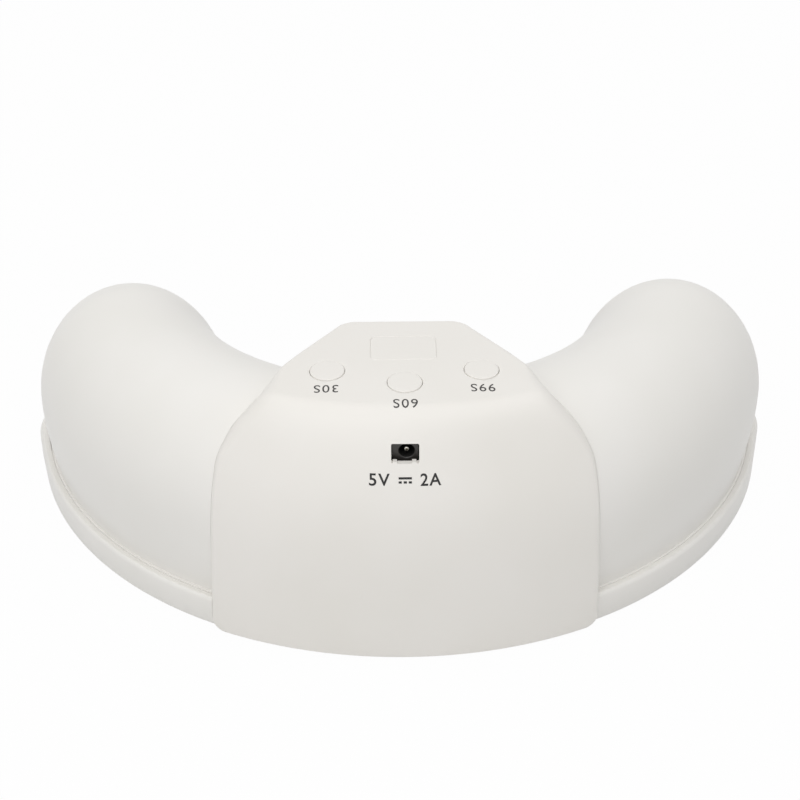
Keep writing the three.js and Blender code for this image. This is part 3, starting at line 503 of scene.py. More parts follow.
def depth_to_arm(point, inward, sink=0.5):
    low, high = 0.0, DEEPEST
    for _ in range(HALVINGS):
        depth = (low + high) / 2
        radius, height = point + inward * depth
        out = abs(radius - SPINE)
        if height < COLUMN_TOP and radius < COLUMN_RADIUS:
            inside = True
        elif height < SPRING:
            inside = out < arm_wall(height)[0] - sink
        else:
            inside = (out / (ARM_HALF - sink)) ** 2 + ((height - SPRING) / (DOME_HEIGHT - sink)) ** 2 < 1
        low, high = (low, depth) if inside else (depth, high)
    return high


def front_plan(inset):
    corner = bezier(FRONT_CORNER, 18)
    along = np.gradient(corner, axis=0)
    along /= np.linalg.norm(along, axis=1)[:, None]
    corner = corner + inset * np.column_stack([-along[:, 1], along[:, 0]])
    return np.concatenate([[[-PLAN_HALF, PLAN_BACK], [PLAN_HALF, PLAN_BACK]], corner, corner[::-1] * [-1, 1]])


def cover_form(name, inset, extra, foot_drop, edge=0.0, fillet_steps=8, across=40):
    rings = []
    for index, point in enumerate(LINE):
        along = LINE[min(len(LINE) - 1, index + 1)] - LINE[max(0, index - 1)]
        along = along / np.linalg.norm(along)
        inward = np.array([-along[1], along[0]])
        corner = max(0.0, FOOT_CORNER - LINE_AT[index])
        round_off = FOOT_CORNER - math.sqrt(FOOT_CORNER ** 2 - corner ** 2)
        half = float(smooth_through(STATIONS, LINE_AT[index])) - inset - round_off
        deep = depth_to_arm(point, inward) + extra
        fillet = min(edge_fillet(*point), (deep - inset) * FILLET_SHARE)
        turn = np.linspace(0, QUARTER, fillet_steps + 1)
        side_x, side_depth = half - fillet + fillet * np.cos(turn), inset + fillet * (1 - np.sin(turn))
        flat = np.linspace(-1, 1, across + 1)[1:-1] * (half - fillet)
        under = np.linspace(half, -half, across + 1)
        x = np.concatenate([-side_x, flat, side_x[::-1], under])
        depth = np.concatenate([
            side_depth, np.full(len(flat), inset), side_depth[::-1], np.full(len(under), deep)])
        radius = point[0] + inward[0] * depth
        height = point[1] + inward[1] * depth - (foot_drop if index == 0 else 0)
        rings.append(np.column_stack([x, -np.sqrt(radius ** 2 - x ** 2), height]))
    form = loft(name, rings)
    plans = [(inset, -foot_drop - 1), (inset, COVER_TOP - edge - inset)]
    for turn in np.linspace(0, QUARTER, 7)[1:] if edge else []:
        plans.append((inset + edge * (1 - math.cos(turn)), COVER_TOP - edge + edge * math.sin(turn)))
    plans.append((inset + edge, COVER_TOP + OVERRUN))
    plan_rings = [at_height(front_plan(plan_inset), z) for plan_inset, z in plans]
    return carve(form, loft("plan", plan_rings), "INTERSECT")


def cover_room(margin):
    outside = cover_form("room", -margin, margin, OVERRUN)
    return carve(outside, cover_form("room_inside", WALL + margin, OVERRUN, OVERRUN))


# %% [markdown]
# ## Small solids for cuts and joins
# Posts, blocks and rounded rectangles come from the same ring loft. They are joined to a moulding as
# bosses or taken out of it as holes, as a tool maker would add pins and pockets to the mould.

# %% Posts, blocks and rounded rectangles
def post(x, y, low, high, radius, sides=40):
    return loft("post", disc_rings(x, y, [(radius, low), (radius, high)], sides))


def block(x0, x1, y0, y1, z0, z1):
    return extruded("block", [(x0, y0), (x1, y0), (x1, y1), (x0, y1)], z0, z1)


def round_rectangle(half_x, half_y, corner, x=0.0, y=0.0, steps=8):
    points = []
    for sx, sy, start in ((1, 1, 0), (-1, 1, 1), (-1, -1, 2), (1, -1, 3)):
        turn = np.linspace(start, start + 1, steps + 1) * QUARTER
        points.append(np.column_stack([x + sx * (half_x - corner) + corner * np.cos(turn),
                                       y + sy * (half_y - corner) + corner * np.sin(turn)]))
    return np.concatenate(points)


# %% Places that several pieces share
SIDES = (-1, 1)
GAP = 0.3
CANOPY_FOOT = LEDGE + GAP
BOSS_RADIUS, HOLE_RADIUS, PILLAR_TOP = 3.0, 1.5, 24.0
ROUND_SIDES = 96
TRAY_SCREWS = [place_at(np.array([side * math.radians(angle)]), ring)[0]
               for angle, ring in ((30, 131.2), (66, 131.2), (10.5, 77.4)) for side in SIDES]
UPPER_BOARD_FOOT, LOWER_BOARD_FOOT, BOARD_THICK = 74.4, 65.4, 1.6
COVER_SCREWS = [(side * x, -y, foot) for x, y, foot in (
    (40, 106, 72.5), (26.48, 84.5, 68.6)) for side in SIDES]
BOARD_SCREWS = [(side * x, -y, foot) for x, y, foot in (
    (27.5, 109.2, UPPER_BOARD_FOOT), (12.5, 118.5, LOWER_BOARD_FOOT)) for side in SIDES]
BUTTONS = {"30s": (-25.2, -99.3), "60s": (0.0, -106.5), "99s": (25.2, -99.3)}
WINDOW = (10.95, 7.55, 2.3, -0.1, -85.3)
WELL_RADIUS, CAP_RADIUS = 5.82, 5.66

# %% [markdown]
# ## Canopy
# The canopy is one thin moulding: the arm's surface outside, the same surface 2.2 mm further in, a
# small flange round its foot, and an arch cut across the two ends and the concave side for the hands.
# The solid is made as a maker would draw it, outside less inside, and the cover's walls get a slot
# that fits them closely, because no dark line shows between the two.

# %% Canopy shell
MOUTH_HALF, MOUTH_TOP, MOUTH_CORNER = 128, 50, 14
MOUTH_NEAR, MOUTH_FAR, COLUMN_HALF, COLUMN_FRONT = -8, 36, 22, -14
SHELL_WALL = 2.2


def mouth_cut(foot, margin, inner_radius=COLUMN_RADIUS):
    half, top, corner = MOUTH_HALF + margin, MOUTH_TOP + margin, MOUTH_CORNER
    turn = np.linspace(0, QUARTER, 13)
    right = np.column_stack([half - corner + corner * np.cos(turn), top - corner + corner * np.sin(turn)])
    arch = np.concatenate([[(-half, foot), (half, foot)], right, right[::-1] * [-1, 1]])
    cut = loft("mouth", [upright(arch, y - margin) for y in (MOUTH_FAR, MOUTH_NEAR)])
    carve(cut, post(0, 0, foot, top, inner_radius + margin, 144), "UNION")
    column = COLUMN_HALF - margin
    return carve(cut, block(-column, column, -RIM, COLUMN_FRONT, foot - OVERRUN, top + OVERRUN))


FLANGE = [(1.2, 0), (1.5, 0.25), (1.5, 1.55), (1.4, 1.8), (1.15, 1.9), (0.75, 1.93), (0.3, 2.15),
          (0.08, 2.8)]
ROOM_FLOOR, ROOF_FOOT = 62.4, 60
canopy = arm_form("canopy", 0, CANOPY_FOOT, FLANGE, abs_shell)
carve(canopy, arm_form("inside", SHELL_WALL, 3.0))
carve(canopy, mouth_cut(-OVERRUN, 0))
for x, y in TRAY_SCREWS:
    carve(canopy, post(x, y, CANOPY_FOOT, PILLAR_TOP, BOSS_RADIUS), "UNION")
for x, y in TRAY_SCREWS:
    carve(canopy, post(x, y, 0, PILLAR_TOP - GAP, HOLE_RADIUS))
for x, y, foot in COVER_SCREWS:
    boss = post(x, y, foot, COVER_TOP, BOSS_RADIUS)
    carve(canopy, carve(boss, arm_form("within", SHELL_WALL / 2, CANOPY_FOOT), "INTERSECT"), "UNION")
    carve(canopy, post(x, y, ROOF_FOOT, COVER_TOP, HOLE_RADIUS))
carve(canopy, block(-34, 34, -115, -89, ROOM_FLOOR, COVER_TOP))
carve(canopy, block(-19, 19, -RIM, -73.5, ROOM_FLOOR, COVER_TOP))
carve(canopy, cover_room(0.04))
finish_piece(smooth(canopy), "shell_white", "canopy_shell")

# %% [markdown]
# ## Centre cover
# The cover is a saddle of the same wall all over. Its front edge is rounded, its foot has rounded
# corners, and it carries wells for the buttons, a frame for the window and a slot for the socket.
# Bosses and posts hang from its inside. They are moulded with it, so they are joined before the holes
# are cut.

# %% Wells and the window's opening
half_x, half_y, corner, pane_x, pane_y = WINDOW


def on_deck_ring(ring, height):
    return np.column_stack([ring[:, :2], deck_height(ring[:, 0], ring[:, 1]) + height])


CUT_LOW, CUT_MIDDLE, CUT_HIGH = 76, 80, 92
LIP_OUT, LIP_DROP = 0.17, -0.16


def deck_rings(x, y, profile):
    return [on_deck_ring(disc_rings(x, y, [(radius, 0)], ROUND_SIDES)[0], height)
            for radius, height in profile]


def well_rings(x, y):
    low = disc_rings(x, y, [(WELL_RADIUS, CUT_LOW), (WELL_RADIUS, CUT_MIDDLE)], ROUND_SIDES)
    lip = deck_rings(x, y, [
        (WELL_RADIUS, LIP_DROP), (WELL_RADIUS + 0.05, -0.05), (WELL_RADIUS + LIP_OUT, 0.02)])
    return low + lip + disc_rings(x, y, [(WELL_RADIUS + LIP_OUT, CUT_HIGH)], ROUND_SIDES)


def pane_ring(margin, height, follow):
    ring = round_rectangle(half_x + margin, half_y + margin, corner + margin, pane_x, pane_y)
    return on_deck_ring(ring, height) if follow else at_height(ring, height)


def pane_form(name, profile, material=None):
    return loft(name, [pane_ring(*level) for level in profile], material)


# %% Centre cover
BOSS_HOLE, STUD_HOLE, STUD_RADIUS = 10, 6, 2.3
cover = cover_form("centre_cover_skin", 0, 0, 0, edge=0.8)
carve(cover, cover_form("inside", WALL, OVERRUN, OVERRUN))
for x, y, foot in COVER_SCREWS:
    boss = post(x, y, foot, COVER_TOP, BOSS_RADIUS)
    carve(boss, cover_form("within", WALL / 2, 0, 0), "INTERSECT")
    carve(boss, arm_form("arm", -GAP, CANOPY_FOOT))
    carve(cover, boss, "UNION")
    carve(cover, post(x, y, foot, foot + BOSS_HOLE, HOLE_RADIUS))
for x, y, foot in BOARD_SCREWS:
    stud = post(x, y, foot + BOARD_THICK + GAP, COVER_TOP, STUD_RADIUS)
    carve(cover, carve(stud, cover_form("within", WALL / 2, 0, 0), "INTERSECT"), "UNION")
    carve(cover, post(x, y, foot, foot + STUD_HOLE, HOLE_RADIUS))
for x, y in BUTTONS.values():
    carve(cover, loft("well", well_rings(x, y)))
carve(cover, pane_form("pane_opening", [
    (0.03, CUT_LOW, False), (0.03, LIP_DROP, True), (0.22, 0.04, True), (0.22, CUT_HIGH, False)]))

SOCKET_X, RIB_HALF, RIB_TOP = -0.3, 0.67, 70.85
slot = round_rectangle(4.45, 2.8, 0.5, SOCKET_X, 73.2)
opening = loft("slot", [upright(slot, y) for y in (-122, -145)])
for rib_x in (-3.6, 2.55):
    carve(opening, block(rib_x - RIB_HALF, rib_x + RIB_HALF, -146, -121, 70, RIB_TOP))
carve(cover, opening)
dress(cover, abs_cover)
finish_piece(smooth(cover), "cover_white", "centre_cover")

# %% [markdown]
# ## Base tray
# The tray is a crescent plate whose rim stands up to 11 mm and whose inner ledge carries the canopy.
# All its edges run parallel, so one profile of inset and height, swept round the crescent's plan,
# gives the floor's edge, the rounded rim and the ledge in one go.

# %% Rings of the crescent
TRAY_ARC = math.radians(74.5)
TRAY_INNER, END_RADIUS, HEEL_RADIUS, STRAIGHT = 66.0, 30.0, 22.0, 16.5


def crescent(inset, height):
    start = place_at(np.array([TRAY_ARC]), RIM - END_RADIUS)[0]
    end_x, end_y = start + STRAIGHT * np.array([math.cos(TRAY_ARC), math.sin(TRAY_ARC)])
    ring = TRAY_INNER + HEEL_RADIUS
    heel_y = end_y + END_RADIUS - HEEL_RADIUS
    heel_x = math.sqrt(ring ** 2 - heel_y ** 2)
    turn = math.asin(heel_y / ring)

    def arc(x, y, radius, start, stop, steps):
        angle = np.linspace(start, stop, steps + 1)
        return np.column_stack([x + radius * np.cos(angle), y + radius * np.sin(angle)])

    flat = np.concatenate([
        arc(0, 0, RIM - inset, -QUARTER - TRAY_ARC, TRAY_ARC - QUARTER, 120),
        arc(end_x, end_y, END_RADIUS - inset, TRAY_ARC - QUARTER, QUARTER, 28),
        arc(heel_x, heel_y, HEEL_RADIUS - inset, QUARTER, math.pi + turn, 28),
        arc(0, 0, TRAY_INNER + inset, turn, -math.pi - turn, 90),
        arc(-heel_x, heel_y, HEEL_RADIUS - inset, -turn, QUARTER, 28),
        arc(-end_x, end_y, END_RADIUS - inset, QUARTER, 3 * QUARTER - TRAY_ARC, 28)])
    return at_height(flat, height)


# %% Base tray
RIM_PROFILE = [(0.8, 0), (0.25, 0.25), (0, 0.8), (0, 9.4), (0.12, 10.1), (0.45, 10.65), (1.0, 11),
               (2.5, 11), (2.85, 10.85), (3, 10.5), (3, 9), (13, 9), (13, 7), (3, 7), (3, 2.8), (3.4, 2.4)]
tray = loft("tray", [crescent(inset, height) for inset, height in RIM_PROFILE], abs_shell)
for x, y in TRAY_SCREWS:
    carve(tray, post(x, y, 1.2, LEDGE, 3.6), "UNION")
carve(tray, mouth_cut(4, GAP))
for x, y in TRAY_SCREWS:
    carve(tray, post(x, y, -OVERRUN, 11, HOLE_RADIUS))
    carve(tray, post(x, y, -OVERRUN, 2.0, 2.7))
FEET = [place_at(np.array([side * math.radians(angle)]), ring)[0]
        for angle, ring in ((15, 118), (50, 118), (80, SPINE)) for side in SIDES]
for x, y in FEET:
    carve(tray, post(x, y, -OVERRUN, 1, 5.3))
carve(tray, cover_room(0.12))
finish_piece(smooth(tray), "shell_white", "base_tray")

# %% [markdown]
# ## Timer buttons
# Each button is a round cap in a well, about 0.3 mm proud of the deck, with its rim rounded and a
# flange below that stops it from falling out. Its crown follows the deck's slope, so every ring of the
# cap takes its height from the cover's line. The printing beside it says how many seconds it sets.

# %% Button caps
CAP_PROUD = 0.3


def button_cap(label, x, y):
    crown = [(0, -2.0), (0, -0.3), (0.04, -0.17), (0.13, -0.08), (0.3, -0.02), (0.55, 0), (2.3, 0.02),
             (4.0, 0.03)]
    rings = deck_rings(x, y, [(CAP_RADIUS - inset, CAP_PROUD + drop) for inset, drop in crown])
    low = disc_rings(x, y, [
        (CAP_RADIUS - 0.3, 82.2), (6.85, 82.2), (7.05, 82.35), (7.05, 83.1), (6.95, 83.2),
        (CAP_RADIUS, 83.2)], ROUND_SIDES)
    cap = loft("button_" + label + "_cap", low + rings, abs_button)
    return finish_piece(smooth(cap), "cover_white", "button_cap_" + label, body="button_" + label)


for label, (x, y) in BUTTONS.items():
    button_cap(label, x, y)

# %% [markdown]
# ## Display window
# The window is a frosted pane of the deck's own colour, flush in its frame: only a hair-thin groove
# shows where it lies. It is a rounded rectangle lofted through a few levels, so its rim is softened
# and its flange sits under the cover.

# %% Window pane
pane = pane_form("window_pane", [
    (1.0, 83.1, False), (1.2, 83.25, False), (1.2, 84.1, False), (0, 84.1, False), (0, LIP_DROP, True),
    (-0.17, -0.03, True), (-0.45, 0, True)], abs_cover)
finish_piece(smooth(pane), "window_frosted", "display_window")

# %% [markdown]
# ## Power socket
# A barrel jack of black plastic stands behind a slot in the cover, whose sill carries two small ribs.
# The jack's bore and the bright pin inside are what the eye finds first on the plain back wall, so both
# get their real bevels: a coned mouth on the bore and a rounded tip on the pin.

# %% Socket body and pin
def along_y(name, x, z, profile, sides, material=None):
    rings = [ring[:, [0, 2, 1]] for ring in disc_rings(x, z, profile, sides)]
    return loft(name, rings, material)


NOSE_Z, JACK_FACE, MOUTH_RADIUS, PICK = 71.6, -127.25, 2.75, 0.02
nose = round_rectangle(4.25, 4.25, 0.4, SOCKET_X, NOSE_Z)
nose_in = round_rectangle(4.12, 4.12, 0.3, SOCKET_X, NOSE_Z)
jack = loft("socket_jack", [
    upright(nose_in, -127.4), upright(nose, JACK_FACE), upright(nose, -121.7)], abs_black)
carve(jack, block(-4.4, 3.85, -122, -113.2, 67.3, 77.6), "UNION")
bore_x, bore_z, bore_radius = 0.2, 73.1, 2.55
carve(jack, along_y("bore", bore_x, bore_z, [
    (bore_radius, -117.9), (bore_radius, -127.2), (MOUTH_RADIUS, -127.4), (MOUTH_RADIUS, -RIM)], 64))
# Faces inside the bore get the darker copy of the black plastic: painted shade, the bore being the same
# plastic as the face
dress(jack, abs_black, bore_painted_shade)
mouth = to_frame([(bore_x, JACK_FACE, bore_z)])[0]
for face in jack.data.polygons:
    x, y, z = (np.array(face.center) - mouth) / MM
    face.material_index = int(y > 0 and math.hypot(x, z) < bore_radius + PICK)
finish_piece(smooth(jack), "black_plastic", "socket_body")

# %% Pin and contact in the socket
pin = along_y("socket_pin_turned", bore_x, bore_z, [
    (0.85, -118.2), (0.85, -126.1), (0.8, -126.35), (0.62, -126.5), (0.3, -126.55)], 40, nickel)
carve(pin, along_y("pin_bore", bore_x, bore_z, [
    (0.38, -125.3), (0.38, -126.4), (0.5, -126.6), (0.5, -128)], 32))
finish_piece(smooth(pin, 50), "contact_nickel", "socket_pin")

leaf = [(-125.0, 0.3), (-124.6, 0.0), (-120.0, 0.0), (-118.3, 0.3)]
sheet = [(y, 71.1 + lift) for y, lift in leaf] + [(y, 71.4 + lift) for y, lift in leaf[::-1]]
spring = loft("socket_leaf_contact", [np.array([(x, y, z) for y, z in sheet]) for x in (-0.4, 0.8)], nickel)
finish_piece(spring, "contact_nickel", "socket_contact")

# %% [markdown]
# ## Printing
# The seconds beside each button and the rating under the socket are pad-printed in dark ink. A text
# object gives the letters, squeezed to the narrow upright proportions of such printing. They become a
# flat mesh, get cut into fine strips so that they can bend, and are laid on the cover's surface.

# %% Letters laid on a surface
INK_LIFT, INK_DEPTH = 0.012, 0.03


def letters(name, words, cap_height, width, spacing=1.0, weight=0.0):
    curve = bpy.data.curves.new(name, "FONT")
    curve.body = words
    curve.size = 10
    curve.space_character = spacing
    curve.offset = weight
    curve.resolution_u = 6
    curve.fill_mode = "FRONT"
    holder = add_object(name, curve)
    flat = settled_mesh(holder)
    bpy.data.objects.remove(holder)
    points = np.array([v.co for v in flat.vertices])
    low, high = points.min(axis=0), points.max(axis=0)
    for vertex, point in zip(flat.vertices, points):
        vertex.co.x = (point[0] - (low[0] + high[0]) / 2) * width / (high[0] - low[0])
        vertex.co.y = (point[1] - (low[1] + high[1]) / 2) * cap_height / (high[1] - low[1])
        vertex.co.z = 0
    return flat


def strokes(name, bars, thick):
    points, faces = [], []
    for x0, x1, y in bars:
        faces.append(tuple(range(len(points), len(points) + 4)))
        points += [(x, y + side * thick / 2, 0) for x, side in ((x0, -1), (x1, -1), (x1, 1), (x0, 1))]
    flat = bpy.data.meshes.new(name)
    flat.from_pydata(points, [], faces)
    return flat


def lay_on(name, flat, surface, colour, strips=0.5):
    work = bmesh.new()
    work.from_mesh(flat)
    bmesh.ops.remove_doubles(work, verts=work.verts, dist=1e-4)
    reach = max(max(abs(v.co.x), abs(v.co.y)) for v in work.verts)
    for axis in ((1, 0, 0), (0, 1, 0)):
        for at in np.arange(-reach, reach, strips):
            every = work.verts[:] + work.edges[:] + work.faces[:]
            bmesh.ops.bisect_plane(work, geom=every, plane_co=Vector(axis) * at, plane_no=axis)
    for vertex in work.verts:
        vertex.co = frame_point(*surface(vertex.co.x, vertex.co.y))
    work.normal_update()
    upper = bmesh.ops.extrude_face_region(work, geom=work.faces[:])["geom"]
    raised = {v: v.normal.copy() for v in upper if isinstance(v, bmesh.types.BMVert)}
    for vertex, normal in raised.items():
        vertex.co += normal * INK_DEPTH * MM
    bmesh.ops.recalc_face_normals(work, faces=work.faces)
    work.to_mesh(flat)
    work.free()
    flat.name = name
    piece = add_object(name, flat)
    dress(piece, colour)
    return finish_piece(piece, "black_plastic")


def on_deck(x0, y0):
    def place(u, v):
        x, y = x0 - u, y0 - v
        return x, y, float(deck_height(x, y)) + INK_LIFT
    return place


def on_wall(x0, z0):
    wall = LINE[LINE[:, 1] < SHOULDER[1] + 0.1]

    def place(u, v):
        radius = float(np.interp(z0 + v, wall[:, 1], wall[:, 0])) + INK_LIFT
        return x0 + u, -math.sqrt(radius ** 2 - (x0 + u) ** 2), z0 + v
    return place


for label, (x, y) in {"30S": (-25.4, -109.6), "60S": (0.0, -117.9), "99S": (25.1, -109.7)}.items():
    lay_on("print_" + label.lower(), letters(label, label, 4.15, 7.85, 1.15, 0.02), on_deck(x, y), ink)
for mark, x in (("5V", -8.55), ("2A", 7.75)):
    lay_on("print_" + mark.lower(), letters(mark, mark, 3.65, 6.6, 1.15, 0.14), on_wall(x, 65.75), ink_black)
bars = [(-2.1, 2.1, 0.6), (-2.1, -1.1, -0.6), (-0.5, 0.5, -0.6), (1.1, 2.1, -0.6)]
lay_on("print_direct_current", strokes("bars", bars, 0.66), on_wall(-0.35, 65.65), ink_black)

# %% [markdown]
# ## Feet, screws and beads from node trees
# Six rubber feet, fourteen screws and twenty-four lamp beads repeat, so each is drawn once in a Geometry
# Nodes tree and set on points. A small builder adds nodes and links the same way as for materials, and
# another runs a finished tree on a list of points and keeps the plain mesh.

# %% Node tree helpers
def new_tree(name, sizes):
    tree = bpy.data.node_groups.new(name, "GeometryNodeTree")
    tree.interface.new_socket("Points", in_out="INPUT", socket_type="NodeSocketGeometry")
    tree.interface.new_socket("Geometry", in_out="OUTPUT", socket_type="NodeSocketGeometry")
    for label, value in sizes.items():
        kind = "NodeSocketInt" if isinstance(value, int) else "NodeSocketFloat"
        tree.interface.new_socket(label, in_out="INPUT", socket_type=kind).default_value = value

    def calc(operation, first, second):
        return add_node(tree, "ShaderNodeMath", {"operation": operation}, {0: first, 1: second}).outputs[0]

    return tree, tree.nodes.new("NodeGroupInput").outputs, calc


def xyz(tree, **parts):
    return add_node(tree, "ShaderNodeCombineXYZ", inputs=parts).outputs[0]


def shape(tree, kind, inputs, settings=None):
    return add_node(tree, kind, settings, inputs).outputs[0]


def lift(tree, geometry, z):
    return shape(tree, "GeometryNodeTransform", {"Geometry": geometry, "Translation": xyz(tree, Z=z)})


def joined(tree, *parts):
    join = tree.nodes.new("GeometryNodeJoinGeometry")
    for part in parts:
        tree.links.new(part, join.inputs[0])
    return join.outputs[0]


def coat(tree, geometry, material):
    return shape(tree, "GeometryNodeSetMaterial", {"Geometry": geometry, "Material": material})


def finish_tree(tree, sizes, instance, material=None):
    copies = shape(tree, "GeometryNodeInstanceOnPoints", {"Points": sizes["Points"], "Instance": instance})
    out = shape(tree, "GeometryNodeRealizeInstances", {"Geometry": copies})
    if material:
        out = coat(tree, out, material)
    add_node(tree, "NodeGroupOutput", inputs={"Geometry": out})


def grown(name, tree, places, sizes):
    seed = bpy.data.meshes.new(name)
    seed.from_pydata([tuple(p) for p in to_frame(places)], [], [])
    piece = add_object(name, seed)
    maker = piece.modifiers.new("tree", "NODES")
    maker.node_group = tree
    for item in tree.interface.items_tree:
        if item.in_out == "INPUT" and item.name in sizes:
            maker[item.identifier] = sizes[item.name]
    piece.update_tag()
    mesh = settled_mesh(piece)
    piece.modifiers.clear()
    piece.data = mesh
    return smooth(piece, 40)


# %% Rubber feet
feet_tree, sizes, calc = new_tree("rubber_feet", {
    "Radius": 5 * MM, "Height": 1.7 * MM, "Hollow": 0.35 * MM, "Round": 0.08})
blank = shape(feet_tree, "GeometryNodeMeshCylinder", {
    "Vertices": 48, "Side Segments": 7, "Fill Segments": 6,
    "Radius": sizes["Radius"], "Depth": sizes["Height"]})
spot = add_node(feet_tree, "ShaderNodeSeparateXYZ", inputs={
    "Vector": add_node(feet_tree, "GeometryNodeInputPosition").outputs[0]}).outputs
high = calc("ADD", calc("DIVIDE", spot["Z"], sizes["Height"]), 0.5)
below = calc("POWER", calc("SUBTRACT", 1.0, high), 5.0)
shrink = calc("SUBTRACT", 1.0, calc("MULTIPLY", below, sizes["Round"]))
wide = add_node(feet_tree, "ShaderNodeVectorMath", {"operation": "LENGTH"}, {
    0: xyz(feet_tree, X=spot["X"], Y=spot["Y"])}).outputs["Value"]
bowl = calc("SUBTRACT", 1.0, calc("POWER", calc("DIVIDE", wide, sizes["Radius"]), 2.0))
under = calc("LESS_THAN", high, 0.01)
rise = calc("MULTIPLY", calc("MULTIPLY", bowl, under), sizes["Hollow"])
where = xyz(feet_tree, X=calc("MULTIPLY", spot["X"], shrink), Y=calc("MULTIPLY", spot["Y"], shrink),
            Z=calc("ADD", spot["Z"], rise))
foot_shape = shape(feet_tree, "GeometryNodeSetPosition", {"Geometry": blank, "Position": where})
finish_tree(feet_tree, sizes, foot_shape, rubber)
FOOT_MIDDLE = -0.15
feet = grown("rubber_feet", feet_tree, [(x, y, FOOT_MIDDLE) for x, y in FEET], {})
finish_piece(feet, "foot_rubber", *["rubber_foot_%d" % (i + 1) for i in range(len(FEET))])

# %% Screws
screw_tree, sizes, calc = new_tree("thread_cutting_screws", {
    "Length": 10 * MM, "Head radius": 2.4 * MM, "Head height": 1.4 * MM, "Shank radius": 1.2 * MM,
    "Pitch": 0.9 * MM, "Slot": 0.6 * MM})
crown = shape(screw_tree, "GeometryNodeMeshCone", {
    "Vertices": 36, "Radius Top": sizes["Head radius"], "Depth": sizes["Head height"],
    "Radius Bottom": calc("MULTIPLY", sizes["Head radius"], 0.82)})
head_foot = calc("MULTIPLY", sizes["Head height"], -1.0)
head = lift(screw_tree, crown, head_foot)
slot_long = calc("MULTIPLY", sizes["Head radius"], 1.15)
for bar_x, bar_y in ((slot_long, sizes["Slot"]), (sizes["Slot"], slot_long)):
    bar = shape(screw_tree, "GeometryNodeMeshCube", {
        "Size": xyz(screw_tree, X=bar_x, Y=bar_y, Z=sizes["Head height"])})
    recess = add_node(screw_tree, "GeometryNodeMeshBoolean", {
        "operation": "DIFFERENCE", "solver": "MANIFOLD"})
    screw_tree.links.new(head, recess.inputs["Mesh 1"])
    screw_tree.links.new(lift(screw_tree, bar, head_foot), recess.inputs["Mesh 2"])
    head = recess.outputs["Mesh"]
core_radius = calc("MULTIPLY", sizes["Shank radius"], 0.78)
core = shape(screw_tree, "GeometryNodeMeshCone", {
    "Vertices": 20, "Side Segments": 1, "Radius Top": calc("MULTIPLY", core_radius, 0.55),
    "Radius Bottom": core_radius, "Depth": calc("MULTIPLY", sizes["Length"], 0.99)})
shank = lift(screw_tree, core, -0.2 * MM)
thread_long = calc("MULTIPLY", sizes["Length"], 0.86)
helix = shape(screw_tree, "GeometryNodeCurveSpiral", {
    "Resolution": 20, "Rotations": calc("DIVIDE", thread_long, sizes["Pitch"]), "Start Radius": core_radius,
    "End Radius": calc("MULTIPLY", core_radius, 0.7), "Height": thread_long})
ridge = shape(screw_tree, "GeometryNodeCurvePrimitiveCircle", {
    "Resolution": 4, "Radius": calc("MULTIPLY", sizes["Shank radius"], 0.2)}, {"mode": "RADIUS"})
thread = shape(screw_tree, "GeometryNodeCurveToMesh", {
    "Curve": helix, "Profile Curve": ridge, "Fill Caps": True})
worm = lift(screw_tree, thread, 0.4 * MM)
finish_tree(screw_tree, sizes, joined(screw_tree, head, shank, worm), steel)
for name, places, length in (("tray_screw", [(x, y, 1.7) for x, y in TRAY_SCREWS], 18.0),
                             ("cover_screw", [(x, y, z - GAP) for x, y, z in COVER_SCREWS], 10.0),
                             ("board_screw", [(x, y, z - GAP) for x, y, z in BOARD_SCREWS], 6.0)):
    screws = grown(name + "s", screw_tree, places, {"Length": length * MM})
    finish_piece(screws, "screw_steel", *["%s_%d" % (name, i + 1) for i in range(len(places))])

# %% Lamp beads
BOARDS = {"left": (-77, -28.5, 5, 88), "centre": (-23, 23, 2, 92), "right": (28.5, 77, 5, 88)}
BEAD_RINGS = (96, 113)
BEADS = {}
for part, (first, last, count, _) in BOARDS.items():
    angles = np.radians(first + (last - first) * (np.arange(count) + 0.5) / count)
    BEADS[part] = np.concatenate([place_at(angles, ring) for ring in BEAD_RINGS])

bead_tree, sizes, calc = new_tree("lamp_beads", {"Radius": 2.45 * MM, "Collar": 1.1 * MM, "Dome": 2.1 * MM})
collar = shape(bead_tree, "GeometryNodeMeshCylinder", {
    "Vertices": 32, "Radius": sizes["Radius"], "Depth": sizes["Collar"]})
collar_low = coat(bead_tree, lift(bead_tree, collar, calc("MULTIPLY", sizes["Collar"], -0.5)), white_mask)
ball_radius = calc("MULTIPLY", sizes["Radius"], 0.88)
ball = shape(bead_tree, "GeometryNodeMeshUVSphere", {"Segments": 32, "Rings": 16, "Radius": ball_radius})
squash = xyz(bead_tree, X=1.0, Y=1.0, Z=calc("DIVIDE", sizes["Dome"], ball_radius))
dome = shape(bead_tree, "GeometryNodeTransform", {"Geometry": ball, "Scale": squash})
dome_low = coat(bead_tree, lift(bead_tree, dome, calc("MULTIPLY", sizes["Collar"], -1.0)), lens)
finish_tree(bead_tree, sizes, joined(bead_tree, collar_low, dome_low))

# %% [markdown]
# ## Reflectors and lamp boards
# Inside the bays a thin liner with a bright coated face throws the light back at the fingers. Its roof
# is flat and has a hole for each bead, and it comes in three pieces. The boards with their beads lie
# on that roof. All of it follows the arm's own surface, only further in.

# %% Reflector liner
def posts(places, low, high, radius, sides=32):
    points, faces = [], []
    for x, y in places:
        base = len(points)
        for ring in disc_rings(x, y, [(radius, low), (radius, high)], sides):
            points.extend(ring)
        for j in range(sides):
            k = (j + 1) % sides
            faces.append((base + j, base + k, base + sides + k, base + sides + j))
        faces.append(tuple(range(base + sides - 1, base - 1, -1)))
        faces.append(tuple(range(base + sides, base + 2 * sides)))
    return mesh_object("posts", np.array(points), faces, None)


